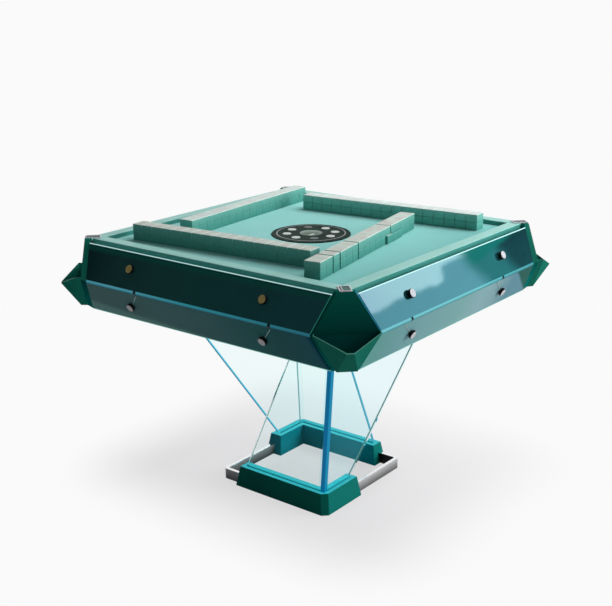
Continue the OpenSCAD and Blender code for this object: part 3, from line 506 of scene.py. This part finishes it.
# Painted reflection: the dice window has a faint glow of its own
clear_glass("window", (0.5, 0.55, 0.53, 1), (0.8, 0.8, 0.8, 1), painted_reflection=(0.07, 0.088, 0.078, 1))
lacquer("plate", (104, 112, 106), (120, 128, 122), rough=(0.5, 0.6), spec=0.1)
lacquer("ivory", (176, 182, 174), (190, 196, 188), rough=(0.25, 0.35))
make_tile_sides()
lacquer("tile_back", (204, 202, 194), (208, 224, 214), rough=(0.4, 0.5), spec=0.04, grain=30)
# Painted light: a paler copy of the tile backs for the back and left walls
lacquer("tile_back_painted_light", (222, 226, 222), (222, 242, 236), rough=(0.4, 0.5), spec=0.04, grain=30)

# Drawers
felt("felt", (28, 84, 74), (38, 98, 86))
lacquer("drawer", (38, 58, 56), (50, 70, 67), rough=(0.4, 0.5), spec=0.1)

# Shapes from the frame

WELD = 2e-6
FLAT_ANGLE = math.radians(0.4)
BEVEL_ANGLE = math.radians(25)
SHARP_ANGLE = math.radians(40)
# Least cosines between a face's normal and a way, from square to it down to barely toward it
SQUARE = 0.9
FACING = 0.8
HALFWAY = 0.5
TURNED = 0.3
BARELY = 0.1


def clean_copy(node):
    """The node's shape as a welded mesh with flat faces whole again."""
    bm = bmesh.new()
    bm.from_mesh(NODES[node].data)
    bmesh.ops.remove_doubles(bm, verts=bm.verts, dist=WELD)
    bmesh.ops.dissolve_limit(bm, angle_limit=FLAT_ANGLE, verts=bm.verts, edges=bm.edges)
    bm.normal_update()
    return bm


def piece(name, bm, body, mats, bevel, segments=2, edge=-1):
    """Turns a bmesh into a bevelled object that rides on a body; edge is the bevel's own material."""
    mesh = bpy.data.meshes.new(name)
    bm.to_mesh(mesh)
    bm.free()
    for m in mats:
        mesh.materials.append(MAT[m])
    for f in mesh.polygons:
        f.use_smooth = True
    mesh.set_sharp_from_angle(angle=SHARP_ANGLE)
    o = bpy.data.objects.new(name, mesh)
    scene.collection.objects.link(o)
    b = o.modifiers.new("bevel", "BEVEL")
    b.width = bevel
    b.segments = segments
    b.limit_method = "ANGLE"
    b.angle_limit = BEVEL_ANGLE
    b.use_clamp_overlap = True
    b.material = edge
    w = o.modifiers.new("normals", "WEIGHTED_NORMAL")
    w.keep_sharp = True
    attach(o, body)
    return o


def stand_in(node, bm, mats, bevel, segments=2, edge=-1):
    """Replaces a node by a dressed shape on the same body."""
    o = piece("look_" + node, bm, BODY[node], mats, bevel, segments, edge)
    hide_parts(node)


def dress(node, mats, bevel, pick=None, segments=2, cuts=()):
    """Replaces a node by a bevelled copy of itself; pick gives each face its material."""
    bm = clean_copy(node)
    for place, normal in cuts:
        cut(bm, place, normal)
    if pick:
        for f in bm.faces:
            f.material_index = pick(f)
    stand_in(node, bm, mats, bevel, segments)


def paint(node, mat):
    """Gives a node one material and leaves its shape."""
    mesh = NODES[node].data
    mesh.materials.clear()
    mesh.materials.append(MAT[mat])
    for f in mesh.polygons:
        f.material_index = 0


def cut(bm, place, normal):
    """Splits the faces along a plane, so that each part can have its own material."""
    geom = list(bm.verts) + list(bm.edges) + list(bm.faces)
    bmesh.ops.bisect_plane(bm, geom=geom, dist=WELD / 2, plane_co=place, plane_no=normal)
    bm.normal_update()


def islands(bm):
    """Groups of faces that hang together."""
    seen = set()
    groups = []
    for first in bm.faces:
        if first in seen:
            continue
        seen.add(first)
        stack = [first]
        group = []
        while stack:
            f = stack.pop()
            group.append(f)
            for g in (g for e in f.edges for g in e.link_faces if g not in seen):
                seen.add(g)
                stack.append(g)
        groups.append(group)
    return groups


def middle_of(faces):
    """Mean of the faces' middles."""
    return sum((f.calc_center_median() for f in faces), Vector()) / len(faces)


def side_of(point):
    """Index of the side that a point belongs to."""
    return max(range(4), key=lambda k: OUTWARD[k].dot(point))


def reach(node, way, below=math.inf):
    """How far a node's points below a height go along a way."""
    return max(v.co.dot(way) for v in NODES[node].data.vertices if v.co.z < below)


def face_normal(node, k):
    """Normal of a pane's large face, on the side that looks away from the table."""
    face = max(NODES[node].data.polygons, key=lambda f: f.area)
    normal = face.normal.copy()
    if normal.dot(OUTWARD[k]) < 0:
        normal.negate()
    return normal


def off_belt(k, normal):
    """The way along a body pane, from the belt to its free edge."""
    way = UPRIGHT * normal.dot(OUTWARD[k]) - OUTWARD[k] * normal.z
    return way if normal.z > 0 else -way


UPPER = [face_normal("apron_pane_" + s, k) for k, s in enumerate(SIDES)]
LOWER = [face_normal("drawer_pane_" + s, k) for k, s in enumerate(SIDES)]


def paint_plain_nodes():
    """Nodes whose own shape is right."""
    looks = {
        "dark": ("floor_plate", "leg_sockets", "drum_motor"),
        "black": ("power_inlet", "belt_clips"),
        "board": ("body_frame", "table_board"),
        "steel": ("drawer_runners", "lift_bridge", "mixing_drum"),
        "field": ("playing_mat",),
        "console": ("console_body",),
        "console_ring": ("console_ring",),
        "plate": ("dice_plate",),
        "window": ("dice_window",),
    }
    for mat, nodes in looks.items():
        for node in nodes:
            paint(node, mat)


def dress_console():
    """Lit buttons, two of them dim, and the dice."""
    dim_buttons = (4, 8)
    for i in range(1, 9):
        dress("button_%d" % i, ["button_dim" if i in dim_buttons else "button"], bevel=0.0006)
    dress("dice", ["ivory"], bevel=0.0012, segments=3)


def ring_face(f):
    """Bright top, grey outside; inside, a painted shadow where it looks to the front side and grey elsewhere.
    """
    top, outer, inner, dark = range(4)
    if f.normal.z > HALFWAY:
        return top
    flat = Vector((f.normal.x, f.normal.y, 0))
    if flat.dot(f.calc_center_median()) > 0:
        return outer
    return dark if f.normal.y < -HALFWAY else inner


def block_face(f):
    """Lit top; another tone, painted light and shade, where a face looks to the front side, or lies left and
    looks right.
    """
    plain, painted_tone, light = range(3)
    c = f.calc_center_median()
    if f.normal.z > SQUARE and c.z > BLOCK_TOP - 0.001:
        return light
    looks_right = c.x < 0 and f.normal.x > TURNED
    return painted_tone if f.normal.y < -TURNED or looks_right else plain


def dress_base():
    """Floor ring, and the two blocks that hold the leg glass."""
    dress("base_ring", ["ring_top", "ring", "ring_in", "ring_painted_shadow"], bevel=0.0012, pick=ring_face, segments=3)
    dress("base_block_front", ["block", "block_painted_shade", "glow_slot"], bevel=0.0012, pick=block_face)
    dress("base_block_back", ["block", "block_inside_painted_light", "glow_slot"], bevel=0.0012, pick=block_face)


def dress_corner_plates():
    """Satin metal with painted shade on the slot floors."""
    slot_top = PLATE_TOP - 0.0004
    dress("corner_plates", ["silver", "slot_floor_painted_shade"], bevel=0.0003,
          pick=lambda f: 1 if f.calc_center_median().z < slot_top and abs(f.normal.z) > HALFWAY else 0)


def dress_caps():
    """A metal disc on a black body; the two shaded sides have warm metal."""
    warm, cool, body = range(3)
    bm = clean_copy("apron_caps")
    for group in islands(bm):
        k = side_of(middle_of(group))
        metal = warm if k in SHADED else cool
        for f in group:
            f.material_index = metal if f.normal.dot(UPPER[k]) > SQUARE else body
    stand_in("apron_caps", bm, ["brass", "knob", "black"], bevel=0.0008)


def dress_knobs(k, s):
    """A metal disc on a black body."""
    dress("drawer_knobs_" + s, ["knob", "black"], bevel=0.0008,
          pick=lambda f: 0 if f.normal.dot(LOWER[k]) > SQUARE else 1)


def on_lower_glass(k, s, point):
    """A point moved straight out to the face of a side's lower glass."""
    face = reach("drawer_pane_" + s, LOWER[k])
    return point + OUTWARD[k] * ((face - point.dot(LOWER[k])) / OUTWARD[k].dot(LOWER[k]))


def add_rod(bm, start, end, radius):
    """A round rod between two points."""
    way = end - start
    turn = way.to_track_quat("Z", "Y").to_matrix().to_4x4()
    bmesh.ops.create_cone(bm, segments=12, cap_ends=True, radius1=radius, radius2=radius, depth=way.length,
                          matrix=Matrix.Translation((start + end) / 2) @ turn)


def add_knob_screws(k, s):
    """Fine steel screws with a collar, that lean along the glass from the lower knobs up to the belt."""
    knob_half = 0.233
    knob_clear = 0.009
    foot_z = 0.616
    head_z = 0.654
    lean = TOWARD_PAIR[k] * (0.036 if s in ("front", "back") else 0.052)
    screw_r = 0.001
    collar_r = 0.0016
    collar_from = 0.92
    collar_to = 0.97
    lift = LOWER[k] * 0.0004
    bm = bmesh.new()
    for t in (-knob_half, knob_half):
        base = ACROSS[k] * t
        foot = on_lower_glass(k, s, base + UPRIGHT * foot_z) + lift
        head = on_lower_glass(k, s, base + lean + UPRIGHT * head_z) + lift
        add_rod(bm, foot + (head - foot).normalized() * knob_clear, head, screw_r)
        add_rod(bm, foot.lerp(head, collar_from), foot.lerp(head, collar_to), collar_r)
    knobs = "drawer_knobs_" + s
    piece("look_knob_screws_" + s, bm, BODY[knobs], ["screw"], bevel=0.0001)


def dress_rim():
    """Pale top, deeper sides."""
    least_rise = 0.4
    dress("rim_rails", ["rim_top", "rim_side"], bevel=0.0008, segments=3,
          pick=lambda f: 0 if f.normal.z > least_rise else 1)


def dress_tiles(s):
    """Pale backs up, green sides; a tile with another on it shows no pale face. The back and left walls'
    backs and the back wall's sides take paler copies of painted light, and the bevels a painted highlight.
    """
    half_row = 0.005
    same_stack = 0.006
    node = "tile_wall_" + s
    bm = clean_copy(node)
    tiles = [(middle_of(group), group) for group in islands(bm)]
    upper_z = max(c.z for c, group in tiles) - half_row
    uppers = [c for c, group in tiles if c.z > upper_z]
    for c, group in tiles:
        covered = c.z < upper_z and any((t - c).xy.length < same_stack for t in uppers)
        for f in group:
            f.material_index = 0 if f.normal.z > HALFWAY and not covered else 1
    back = "tile_back_painted_light" if s in ("back", "left") else "tile_back"
    side = "tile_side_painted_light" if s == "back" else "tile_side"
    stand_in(node, bm, [back, side, "tile_edge_painted_highlight"], bevel=0.0014, segments=3, edge=2)


def dress_pocket(k, s):
    """A plate with painted shade that darkens downward, a dark inside with painted light, a painted highlight
    on the lip round the mouth, painted glow deep in the gaps, and on the front pocket a flank with painted
    glow.
    """
    skin, plate, mouth, inside, gap, painted_lit_flank = range(6)
    mouth_low = BELT_Z - 0.039
    mouth_high = BELT_Z + 0.026
    # How far behind the corner the inside starts, and how deep the folds go
    inside_from = 0.062
    fold_deep = 0.07
    front = s == "front"
    node = "pocket_" + s
    out = (OUTWARD[k] + ACROSS[k]).normalized()
    far = reach(node, out)

    def pick(f):
        c = f.calc_center_median()
        n = f.normal.dot(out)
        behind = far - c.dot(out)
        above = c.z > BELT_Z
        if f.normal.z > FACING and mouth_low < c.z < mouth_high:
            return mouth
        if n > TURNED and f.normal.z > BARELY:
            return plate
        if behind > inside_from and n > TURNED and c.z < INSIDE_TOP:
            return inside
        if n < -BARELY and behind < fold_deep:
            return inside if front else skin
        if n < -BARELY:
            return gap
        from_middle = c - out * c.dot(out)
        if f.normal.dot(from_middle) < 0:
            return gap if above else skin
        # The front pocket's flank that looks right takes painted glow
        if front and above:
            return painted_lit_flank if f.normal.x > TURNED else plate
        return skin

    outer = "pocket_painted_light" if s == "left" else "pocket"
    dress(node, [outer, "pocket_plate", "pocket_lip_painted_highlight", "pocket_in", "pocket_gap", "painted_glow_edge"],
          bevel=0.0005, pick=pick)


def dress_upper_glass(k, s):
    """Painted face and polished edges, with a dark line under the eave and painted glow on the ends on the
    shaded sides; on the other sides the edges and ends have painted glow.
    """
    painted, edge, end = range(3)
    eave_line = 0.0045
    node = "apron_pane_" + s
    up = off_belt(k, UPPER[k])
    line = reach(node, up) - eave_line
    shaded = k in SHADED

    def pick(f):
        flat = abs(f.normal.dot(UPPER[k])) > FACING
        if flat and (not shaded or f.calc_center_median().dot(up) < line):
            return painted
        return end if abs(f.normal.dot(ACROSS[k])) > FACING else edge

    if shaded:
        dress(node, ["apron_shaded", "edge_green", "pane_end_painted_glow"], bevel=0.0008, pick=pick,
              cuts=[(up * line, up)])
    else:
        dress(node, ["apron", "painted_glow_edge", "painted_glow_edge"], bevel=0.0008, pick=pick)


def dress_lower_glass(k, s):
    """Painted face with a painted highlight along the bevel at the foot; the other edges take painted shade
    on the shaded sides and painted glow on the others.
    """
    painted, arris_painted_highlight, edge = range(3)
    arris_w = 0.0025
    node = "drawer_pane_" + s
    down = off_belt(k, LOWER[k])
    line = reach(node, down) - arris_w

    def pick(f):
        if f.calc_center_median().dot(down) > line:
            return arris_painted_highlight
        return painted if abs(f.normal.dot(LOWER[k])) > FACING else edge

    edge_look = "seal_painted_shade" if k in SHADED else "painted_glow_edge"
    dress(node, ["drawer_glass_" + s, "arris_painted_highlight", edge_look], bevel=0.0008, pick=pick,
          cuts=[(down * line, down)])


def dress_strips():
    """White on the upper edge, two tones of painted light and shade on each side of the belt, turquoise in
    the base.
    """
    eave, base, belt = range(3)
    base_top = 0.2
    eave_foot = 0.72
    bm = clean_copy("light_strips")
    for group in islands(bm):
        c = middle_of(group)
        k = side_of(c)
        for f in group:
            if c.z < base_top:
                f.material_index = base
            elif c.z > eave_foot:
                f.material_index = eave
            else:
                low = 1 if f.normal.dot(LOWER[k]) > FACING else 0
                f.material_index = belt + 2 * k + low
    belt_looks = ["belt_" + s + tone for s in SIDES for tone in ("", "_low")]
    stand_in("light_strips", bm, ["glow_top", "glow_slot", *belt_looks], bevel=0.0005)


def dress_leg_glass(k, s):
    """Clear faces, a dark line of painted shade at the foot on one face, and free edges that carry the light
    in two tones.
    """
    clear, outer_edge, inner_edge, seal_painted_shade, bar_line, fringe = range(6)
    edges = {"front": ("leg", "edge_grey"), "right": ("leg", "edge_grey"), "back": ("mid_leg", "soft_leg"),
             "left": ("deep_leg", "glow_leg")}
    node = "leg_pane_" + s
    near = k in NEAR_LEGS
    normal = face_normal(node, k)
    half_way = (reach(node, normal) - reach(node, -normal)) / 2
    seal_z = BLOCK_TOP + 0.0026
    seal_side = 1 if near else -1
    bar_side = TOWARD_PAIR[k]
    # The tinted fringe lies beside the corner bar and leans with it
    fringe_w = 0.007
    fringe_foot = 0.0365
    fringe_lean = 0.163
    foot_end = reach(node, bar_side, below=0.2)
    beside = (bar_side - UPRIGHT * fringe_lean).normalized()
    start = bar_side * (foot_end - fringe_w) + UPRIGHT * fringe_foot

    def pick(f):
        c = f.calc_center_median()
        if abs(f.normal.dot(normal)) > FACING:
            if c.z < seal_z and f.normal.dot(normal) * seal_side > 0:
                return seal_painted_shade
            return fringe if near and (c - start).dot(beside) > 0 else clear
        outer = c.dot(normal) > half_way
        if f.normal.dot(bar_side) > FACING:
            return bar_line if s == "left" and outer else clear
        if c.z < seal_z:
            return clear
        return outer_edge if outer else inner_edge

    cuts = [(normal * half_way, normal), (UPRIGHT * seal_z, UPRIGHT)]
    if near:
        cuts.append((start, beside))
    # The right leg glass has a faint glow of its own, a painted reflection
    face = "leg_painted_reflection" if s == "right" else "leg"
    dress(node, [face, *edges[s], "seal_painted_shade", "line_green", "leg_fringe"], bevel=0.0006, pick=pick, cuts=cuts)


def dress_leg_bars():
    """The near bar carries the light in two tones, the far one is clear."""
    plain, bright, clear = range(3)
    bm = clean_copy("leg_corner_bars")
    for group in islands(bm):
        far = middle_of(group).y > 0
        for f in group:
            f.material_index = clear if far else (bright if f.normal.x > TURNED else plain)
    stand_in("leg_corner_bars", bm, ["bar", "bar_side", "leg"], bevel=0.0008)


def dress_drawer_box(s):
    """Lacquered box with a felt floor."""
    node = "drawer_box_" + s
    floor_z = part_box(node)[0].z + 0.0045
    dress(node, ["drawer", "felt"], bevel=0.001,
          pick=lambda f: 1 if f.normal.z > SQUARE and f.calc_center_median().z < floor_z else 0)


paint_plain_nodes()
dress_console()
dress_base()
dress_corner_plates()
dress_caps()
for k, s in enumerate(SIDES):
    dress_knobs(k, s)
for k, s in enumerate(SIDES):
    add_knob_screws(k, s)
dress_rim()
for s in SIDES:
    dress_tiles(s)
for k, s in enumerate(SIDES):
    dress_pocket(k, s)
for k, s in enumerate(SIDES):
    dress_upper_glass(k, s)
    dress_lower_glass(k, s)
dress_strips()
for k, s in enumerate(SIDES):
    dress_leg_glass(k, s)
dress_leg_bars()
for s in SIDES:
    dress_drawer_box(s)

# Floor, light and camera

PALE = 0.956
FLOOR_RADIUS = 40
FLOOR_Z = -0.0005


def is_seen(tree):
    """1 for rays that show a background: from the camera, in a mirror, or through glass."""
    path = add_node(tree, "ShaderNodeLightPath")
    direct = add_node(tree, "ShaderNodeMath", operation="MAXIMUM")
    either = add_node(tree, "ShaderNodeMath", operation="MAXIMUM")
    tree.links.new(path.outputs["Is Camera Ray"], direct.inputs[0])
    tree.links.new(path.outputs["Is Glossy Ray"], direct.inputs[1])
    tree.links.new(direct.outputs[0], either.inputs[0])
    tree.links.new(path.outputs["Is Transmission Ray"], either.inputs[1])
    return either.outputs[0]


def mix_shaders(tree, fac, low, high):
    """Shader that goes from low to high as the factor goes from 0 to 1."""
    mix = add_node(tree, "ShaderNodeMixShader")
    tree.links.new(fac, mix.inputs["Fac"])
    tree.links.new(low, mix.inputs[1])
    tree.links.new(high, mix.inputs[2])
    return mix.outputs[0]


def bare_material(name):
    """A material with no nodes yet."""
    material = bpy.data.materials.new(name)
    material.use_nodes = True
    material.node_tree.nodes.clear()
    return material


def staged(name, bm, material, place):
    """An object of the studio, which isn't part of the table."""
    mesh = bpy.data.meshes.new(name)
    bm.to_mesh(mesh)
    bm.free()
    mesh.materials.append(material)
    o = bpy.data.objects.new(name, mesh)
    o.location = place
    scene.collection.objects.link(o)
    return o


def outside(tree, centre, half, width, values=(0, 1)):
    """From one value inside a rectangle on the floor to another beyond a soft border round it."""
    steps = (("SUBTRACT", centre), ("ABSOLUTE", None), ("SUBTRACT", half), ("MAXIMUM", (0, 0, 0)),
             ("LENGTH", None))
    last = add_node(tree, "ShaderNodeTexCoord").outputs["Object"]
    for step, value in steps:
        n = add_node(tree, "ShaderNodeVectorMath", {1: value} if value else None, operation=step)
        tree.links.new(last, n.inputs[0])
        last = n.outputs["Value" if step == "LENGTH" else "Vector"]
    span = {"From Max": width, "To Min": values[0], "To Max": values[1]}
    border = add_node(tree, "ShaderNodeMapRange", span, interpolation_type="SMOOTHSTEP")
    tree.links.new(last, border.inputs["Value"])
    return border.outputs["Result"]


def add_floor():
    """Pale floor that keeps a soft shadow near the object and runs out into the backdrop.
    What rays see of it is a little lamp light on grey and a light of its own, dimmed under the table as a
    painted shadow."""
    material = bare_material("floor")
    tree = material.node_tree
    out = add_node(tree, "ShaderNodeOutputMaterial")
    unseen = add_node(tree, "ShaderNodeBsdfDiffuse", {"Color": (0.6, 0.6, 0.6, 1)})
    grey = add_node(tree, "ShaderNodeBsdfDiffuse", {"Color": (0.22, 0.216, 0.22, 1)})
    own = add_node(tree, "ShaderNodeEmission", {"Color": (1, 0.99, 1, 1)})
    backdrop = add_node(tree, "ShaderNodeEmission", {"Color": (1, 1, 1, 1), "Strength": PALE})
    # Painted shadow: the floor's own light is dimmer in a soft-edged rectangle round the table, dimmest under
    # its middle
    painted_shadow_fade = outside(tree, centre=(-0.03, 0.08, 0), half=(0.36, 0.29, 1), width=0.38)
    painted_shadow_core = outside(tree, centre=(0, 0, 0), half=(0.1, 0.1, 1), width=0.16, values=(0.56, 0.68))
    near = add_node(tree, "ShaderNodeAddShader")
    tree.links.new(painted_shadow_core, own.inputs["Strength"])
    tree.links.new(grey.outputs[0], near.inputs[0])
    tree.links.new(own.outputs[0], near.inputs[1])
    seen = mix_shaders(tree, painted_shadow_fade, near.outputs[0], backdrop.outputs[0])
    tree.links.new(mix_shaders(tree, is_seen(tree), unseen.outputs[0], seen), out.inputs["Surface"])
    bm = bmesh.new()
    bmesh.ops.create_circle(bm, cap_ends=True, segments=96, radius=FLOOR_RADIUS)
    staged("floor", bm, material, (0, 0, FLOOR_Z))


def add_world():
    """Pale backdrop for the rays that show it, and a dim cool fill for the others."""
    world = bpy.data.worlds.new("studio")
    scene.world = world
    world.use_nodes = True
    tree = world.node_tree
    tree.nodes.clear()
    out = add_node(tree, "ShaderNodeOutputWorld")
    seen = add_node(tree, "ShaderNodeBackground", {"Color": (PALE, PALE, PALE, 1)})
    fill = add_node(tree, "ShaderNodeBackground", {"Color": (0.9, 0.95, 1.0, 1), "Strength": 0.14})
    both = mix_shaders(tree, is_seen(tree), fill.outputs[0], seen.outputs[0])
    tree.links.new(both, out.inputs["Surface"])


def aim(o, target):
    """Turns a lamp or card toward a point."""
    way = (Vector(target) - Vector(o.location)).normalized()
    o.rotation_euler = way.to_track_quat("-Z", "Y").to_euler()


def add_lamp(name, place, target, width, height, power, color=(1, 1, 1)):
    """Large soft lamp that no mirror shows."""
    lamp = bpy.data.lights.new(name, "AREA")
    lamp.shape = "RECTANGLE"
    lamp.size = width
    lamp.size_y = height
    lamp.energy = power
    lamp.color = color
    o = bpy.data.objects.new(name, lamp)
    o.location = place
    scene.collection.objects.link(o)
    aim(o, target)
    o.visible_camera = False
    o.visible_glossy = False


def add_card(name, material, place, target, width, height):
    """A studio card that only the gloss shows."""
    bm = bmesh.new()
    bmesh.ops.create_grid(bm, x_segments=1, y_segments=1, size=0.5)
    o = staged(name, bm, material, place)
    o.scale = (width, height, 1)
    aim(o, target)
    o.visible_camera = False
    o.visible_diffuse = False
    o.visible_transmission = False
    o.visible_shadow = False


def softbox_look(width, height):
    """Soft light for the mirror of the upper glass.
    Its places are metres from the card's middle, to the right and up."""
    bright = (3.1, 5.5, 6.1)
    mist = (2.9, 4.6, 5.9)
    middle = (0.83, 2.4, 3.0)
    teal = (0.16, 1.10, 1.16)
    green = (0.04, 1.15, 0.98)
    navy = (0.03, 0.03, 0.08)
    material = bare_material("softbox")
    tree = material.node_tree
    out = add_node(tree, "ShaderNodeOutputMaterial")
    lamp = add_node(tree, "ShaderNodeEmission")
    space = add_node(tree, "ShaderNodeTexCoord")
    metres = add_node(tree, "ShaderNodeMapping", {"Scale": (width, height, 1)})
    split = add_node(tree, "ShaderNodeSeparateXYZ")
    cloud = add_node(tree, "ShaderNodeTexNoise", {"Scale": 7.0, "Detail": 4.0})
    tree.links.new(space.outputs["Object"], metres.inputs["Vector"])
    tree.links.new(metres.outputs["Vector"], cloud.inputs["Vector"])
    tree.links.new(metres.outputs["Vector"], split.inputs[0])

    def sum_of(a, b, factor):
        """a plus factor times b."""
        n = add_node(tree, "ShaderNodeMath", {1: factor}, operation="MULTIPLY_ADD")
        tree.links.new(b, n.inputs[0])
        tree.links.new(a, n.inputs[2])
        return n.outputs[0]

    def band(socket, low, high, wobble):
        """0 to 1 between two places, with a cloudy edge."""
        half = wobble / 2
        r = add_node(tree, "ShaderNodeMapRange", {"From Min": low + half, "From Max": high + half},
                     interpolation_type="SMOOTHSTEP")
        tree.links.new(sum_of(socket, cloud.outputs["Fac"], wobble), r.inputs["Value"])
        return r.outputs["Result"]

    def blend(fac, a, b):
        """From a to b, each a colour or a socket."""
        n = add_node(tree, "ShaderNodeMix", data_type="RGBA")
        tree.links.new(fac, n.inputs["Factor"])
        for socket, v in ((n.inputs["A"], a), (n.inputs["B"], b)):
            if isinstance(v, tuple):
                socket.default_value = (*v, 1)
            else:
                tree.links.new(v, socket)
        return n.outputs["Result"]

    right = split.outputs["X"]
    up = split.outputs["Y"]
    # Bright above a cloudy edge and dimmer below; the edge slopes down to the right and has one step
    slope = 0.28
    step_height = 0.07
    step = band(right, 0.235, 0.285, wobble=0.03)
    edge = sum_of(sum_of(up, right, slope), step, -step_height)
    above = band(edge, 0.012, 0.042, wobble=0.07)
    # The bright part is hazier on the left
    clear = band(right, -0.22, 0.02, wobble=0.1)
    cloudy = blend(above, middle, blend(clear, mist, bright))
    # The dark side is green above, and teal and then navy below
    over = band(up, -0.105, -0.075, wobble=0.02)
    outermost = band(right, 0.52, 0.60, wobble=0.05)
    dark = blend(outermost, blend(over, teal, green), blend(over, navy, green))
    dark_side = band(right, 0.36, 0.44, wobble=0.04)
    tree.links.new(blend(dark_side, cloudy, dark), lamp.inputs["Color"])
    tree.links.new(lamp.outputs[0], out.inputs["Surface"])
    return material


def add_camera():
    """The photo's camera: it stands between the front and the right side and looks a little past the axis."""
    stand = math.radians(37.77)
    distance = 3.078827
    height = 1.4905
    yaw = stand + math.radians(0.297)
    pitch = math.radians(17.052)
    roll = math.radians(-0.398)
    data = bpy.data.cameras.new("camera")
    data.lens = 64.384
    data.sensor_width = 36.0
    data.clip_end = 200
    ahead = Vector((-math.sin(yaw) * math.cos(pitch), math.cos(yaw) * math.cos(pitch), -math.sin(pitch)))
    level = Vector((math.cos(yaw), math.sin(yaw), 0))
    above = level.cross(ahead)
    right = level * math.cos(roll) + above * math.sin(roll)
    up = above * math.cos(roll) - level * math.sin(roll)
    turn = Matrix((right, up, -ahead)).transposed().to_4x4()
    place = Vector((math.sin(stand) * distance, -math.cos(stand) * distance, height))
    camera = bpy.data.objects.new("camera", data)
    scene.collection.objects.link(camera)
    camera.matrix_world = Matrix.Translation(place) @ turn
    scene.camera = camera


def add_lights():
    """Two lamps, a softbox for the mirror of the bright sides, and a dark card for the shaded ones."""
    softbox_width = 4.0
    softbox_height = 3.0
    add_lamp("top", place=(0.5, 1.7, 3.1), target=(0, 0, 0.7), width=2.8, height=2.2, power=76)
    add_lamp("key", place=(3.6, 2.0, 1.7), target=(0.2, 0, 0.6), width=2.6, height=2.4, power=92,
             color=(0.97, 0.99, 1.0))
    add_card("softbox", softbox_look(softbox_width, softbox_height), place=(2.1, 2.1, 1.42),
             target=(0, 0, 1.42), width=softbox_width, height=softbox_height)
    Look("flag_left", (0.02, 0.022, 0.022, 1), rough=1.0, spec=0.0)
    add_card("flag_left", MAT["flag_left"], place=(-2.2, -3.0, 1.6), target=(0, 0, 0.7),
             width=5.0, height=4.2)


add_floor()
add_world()
add_lights()
add_camera()
scene.view_settings.view_transform = "Standard"
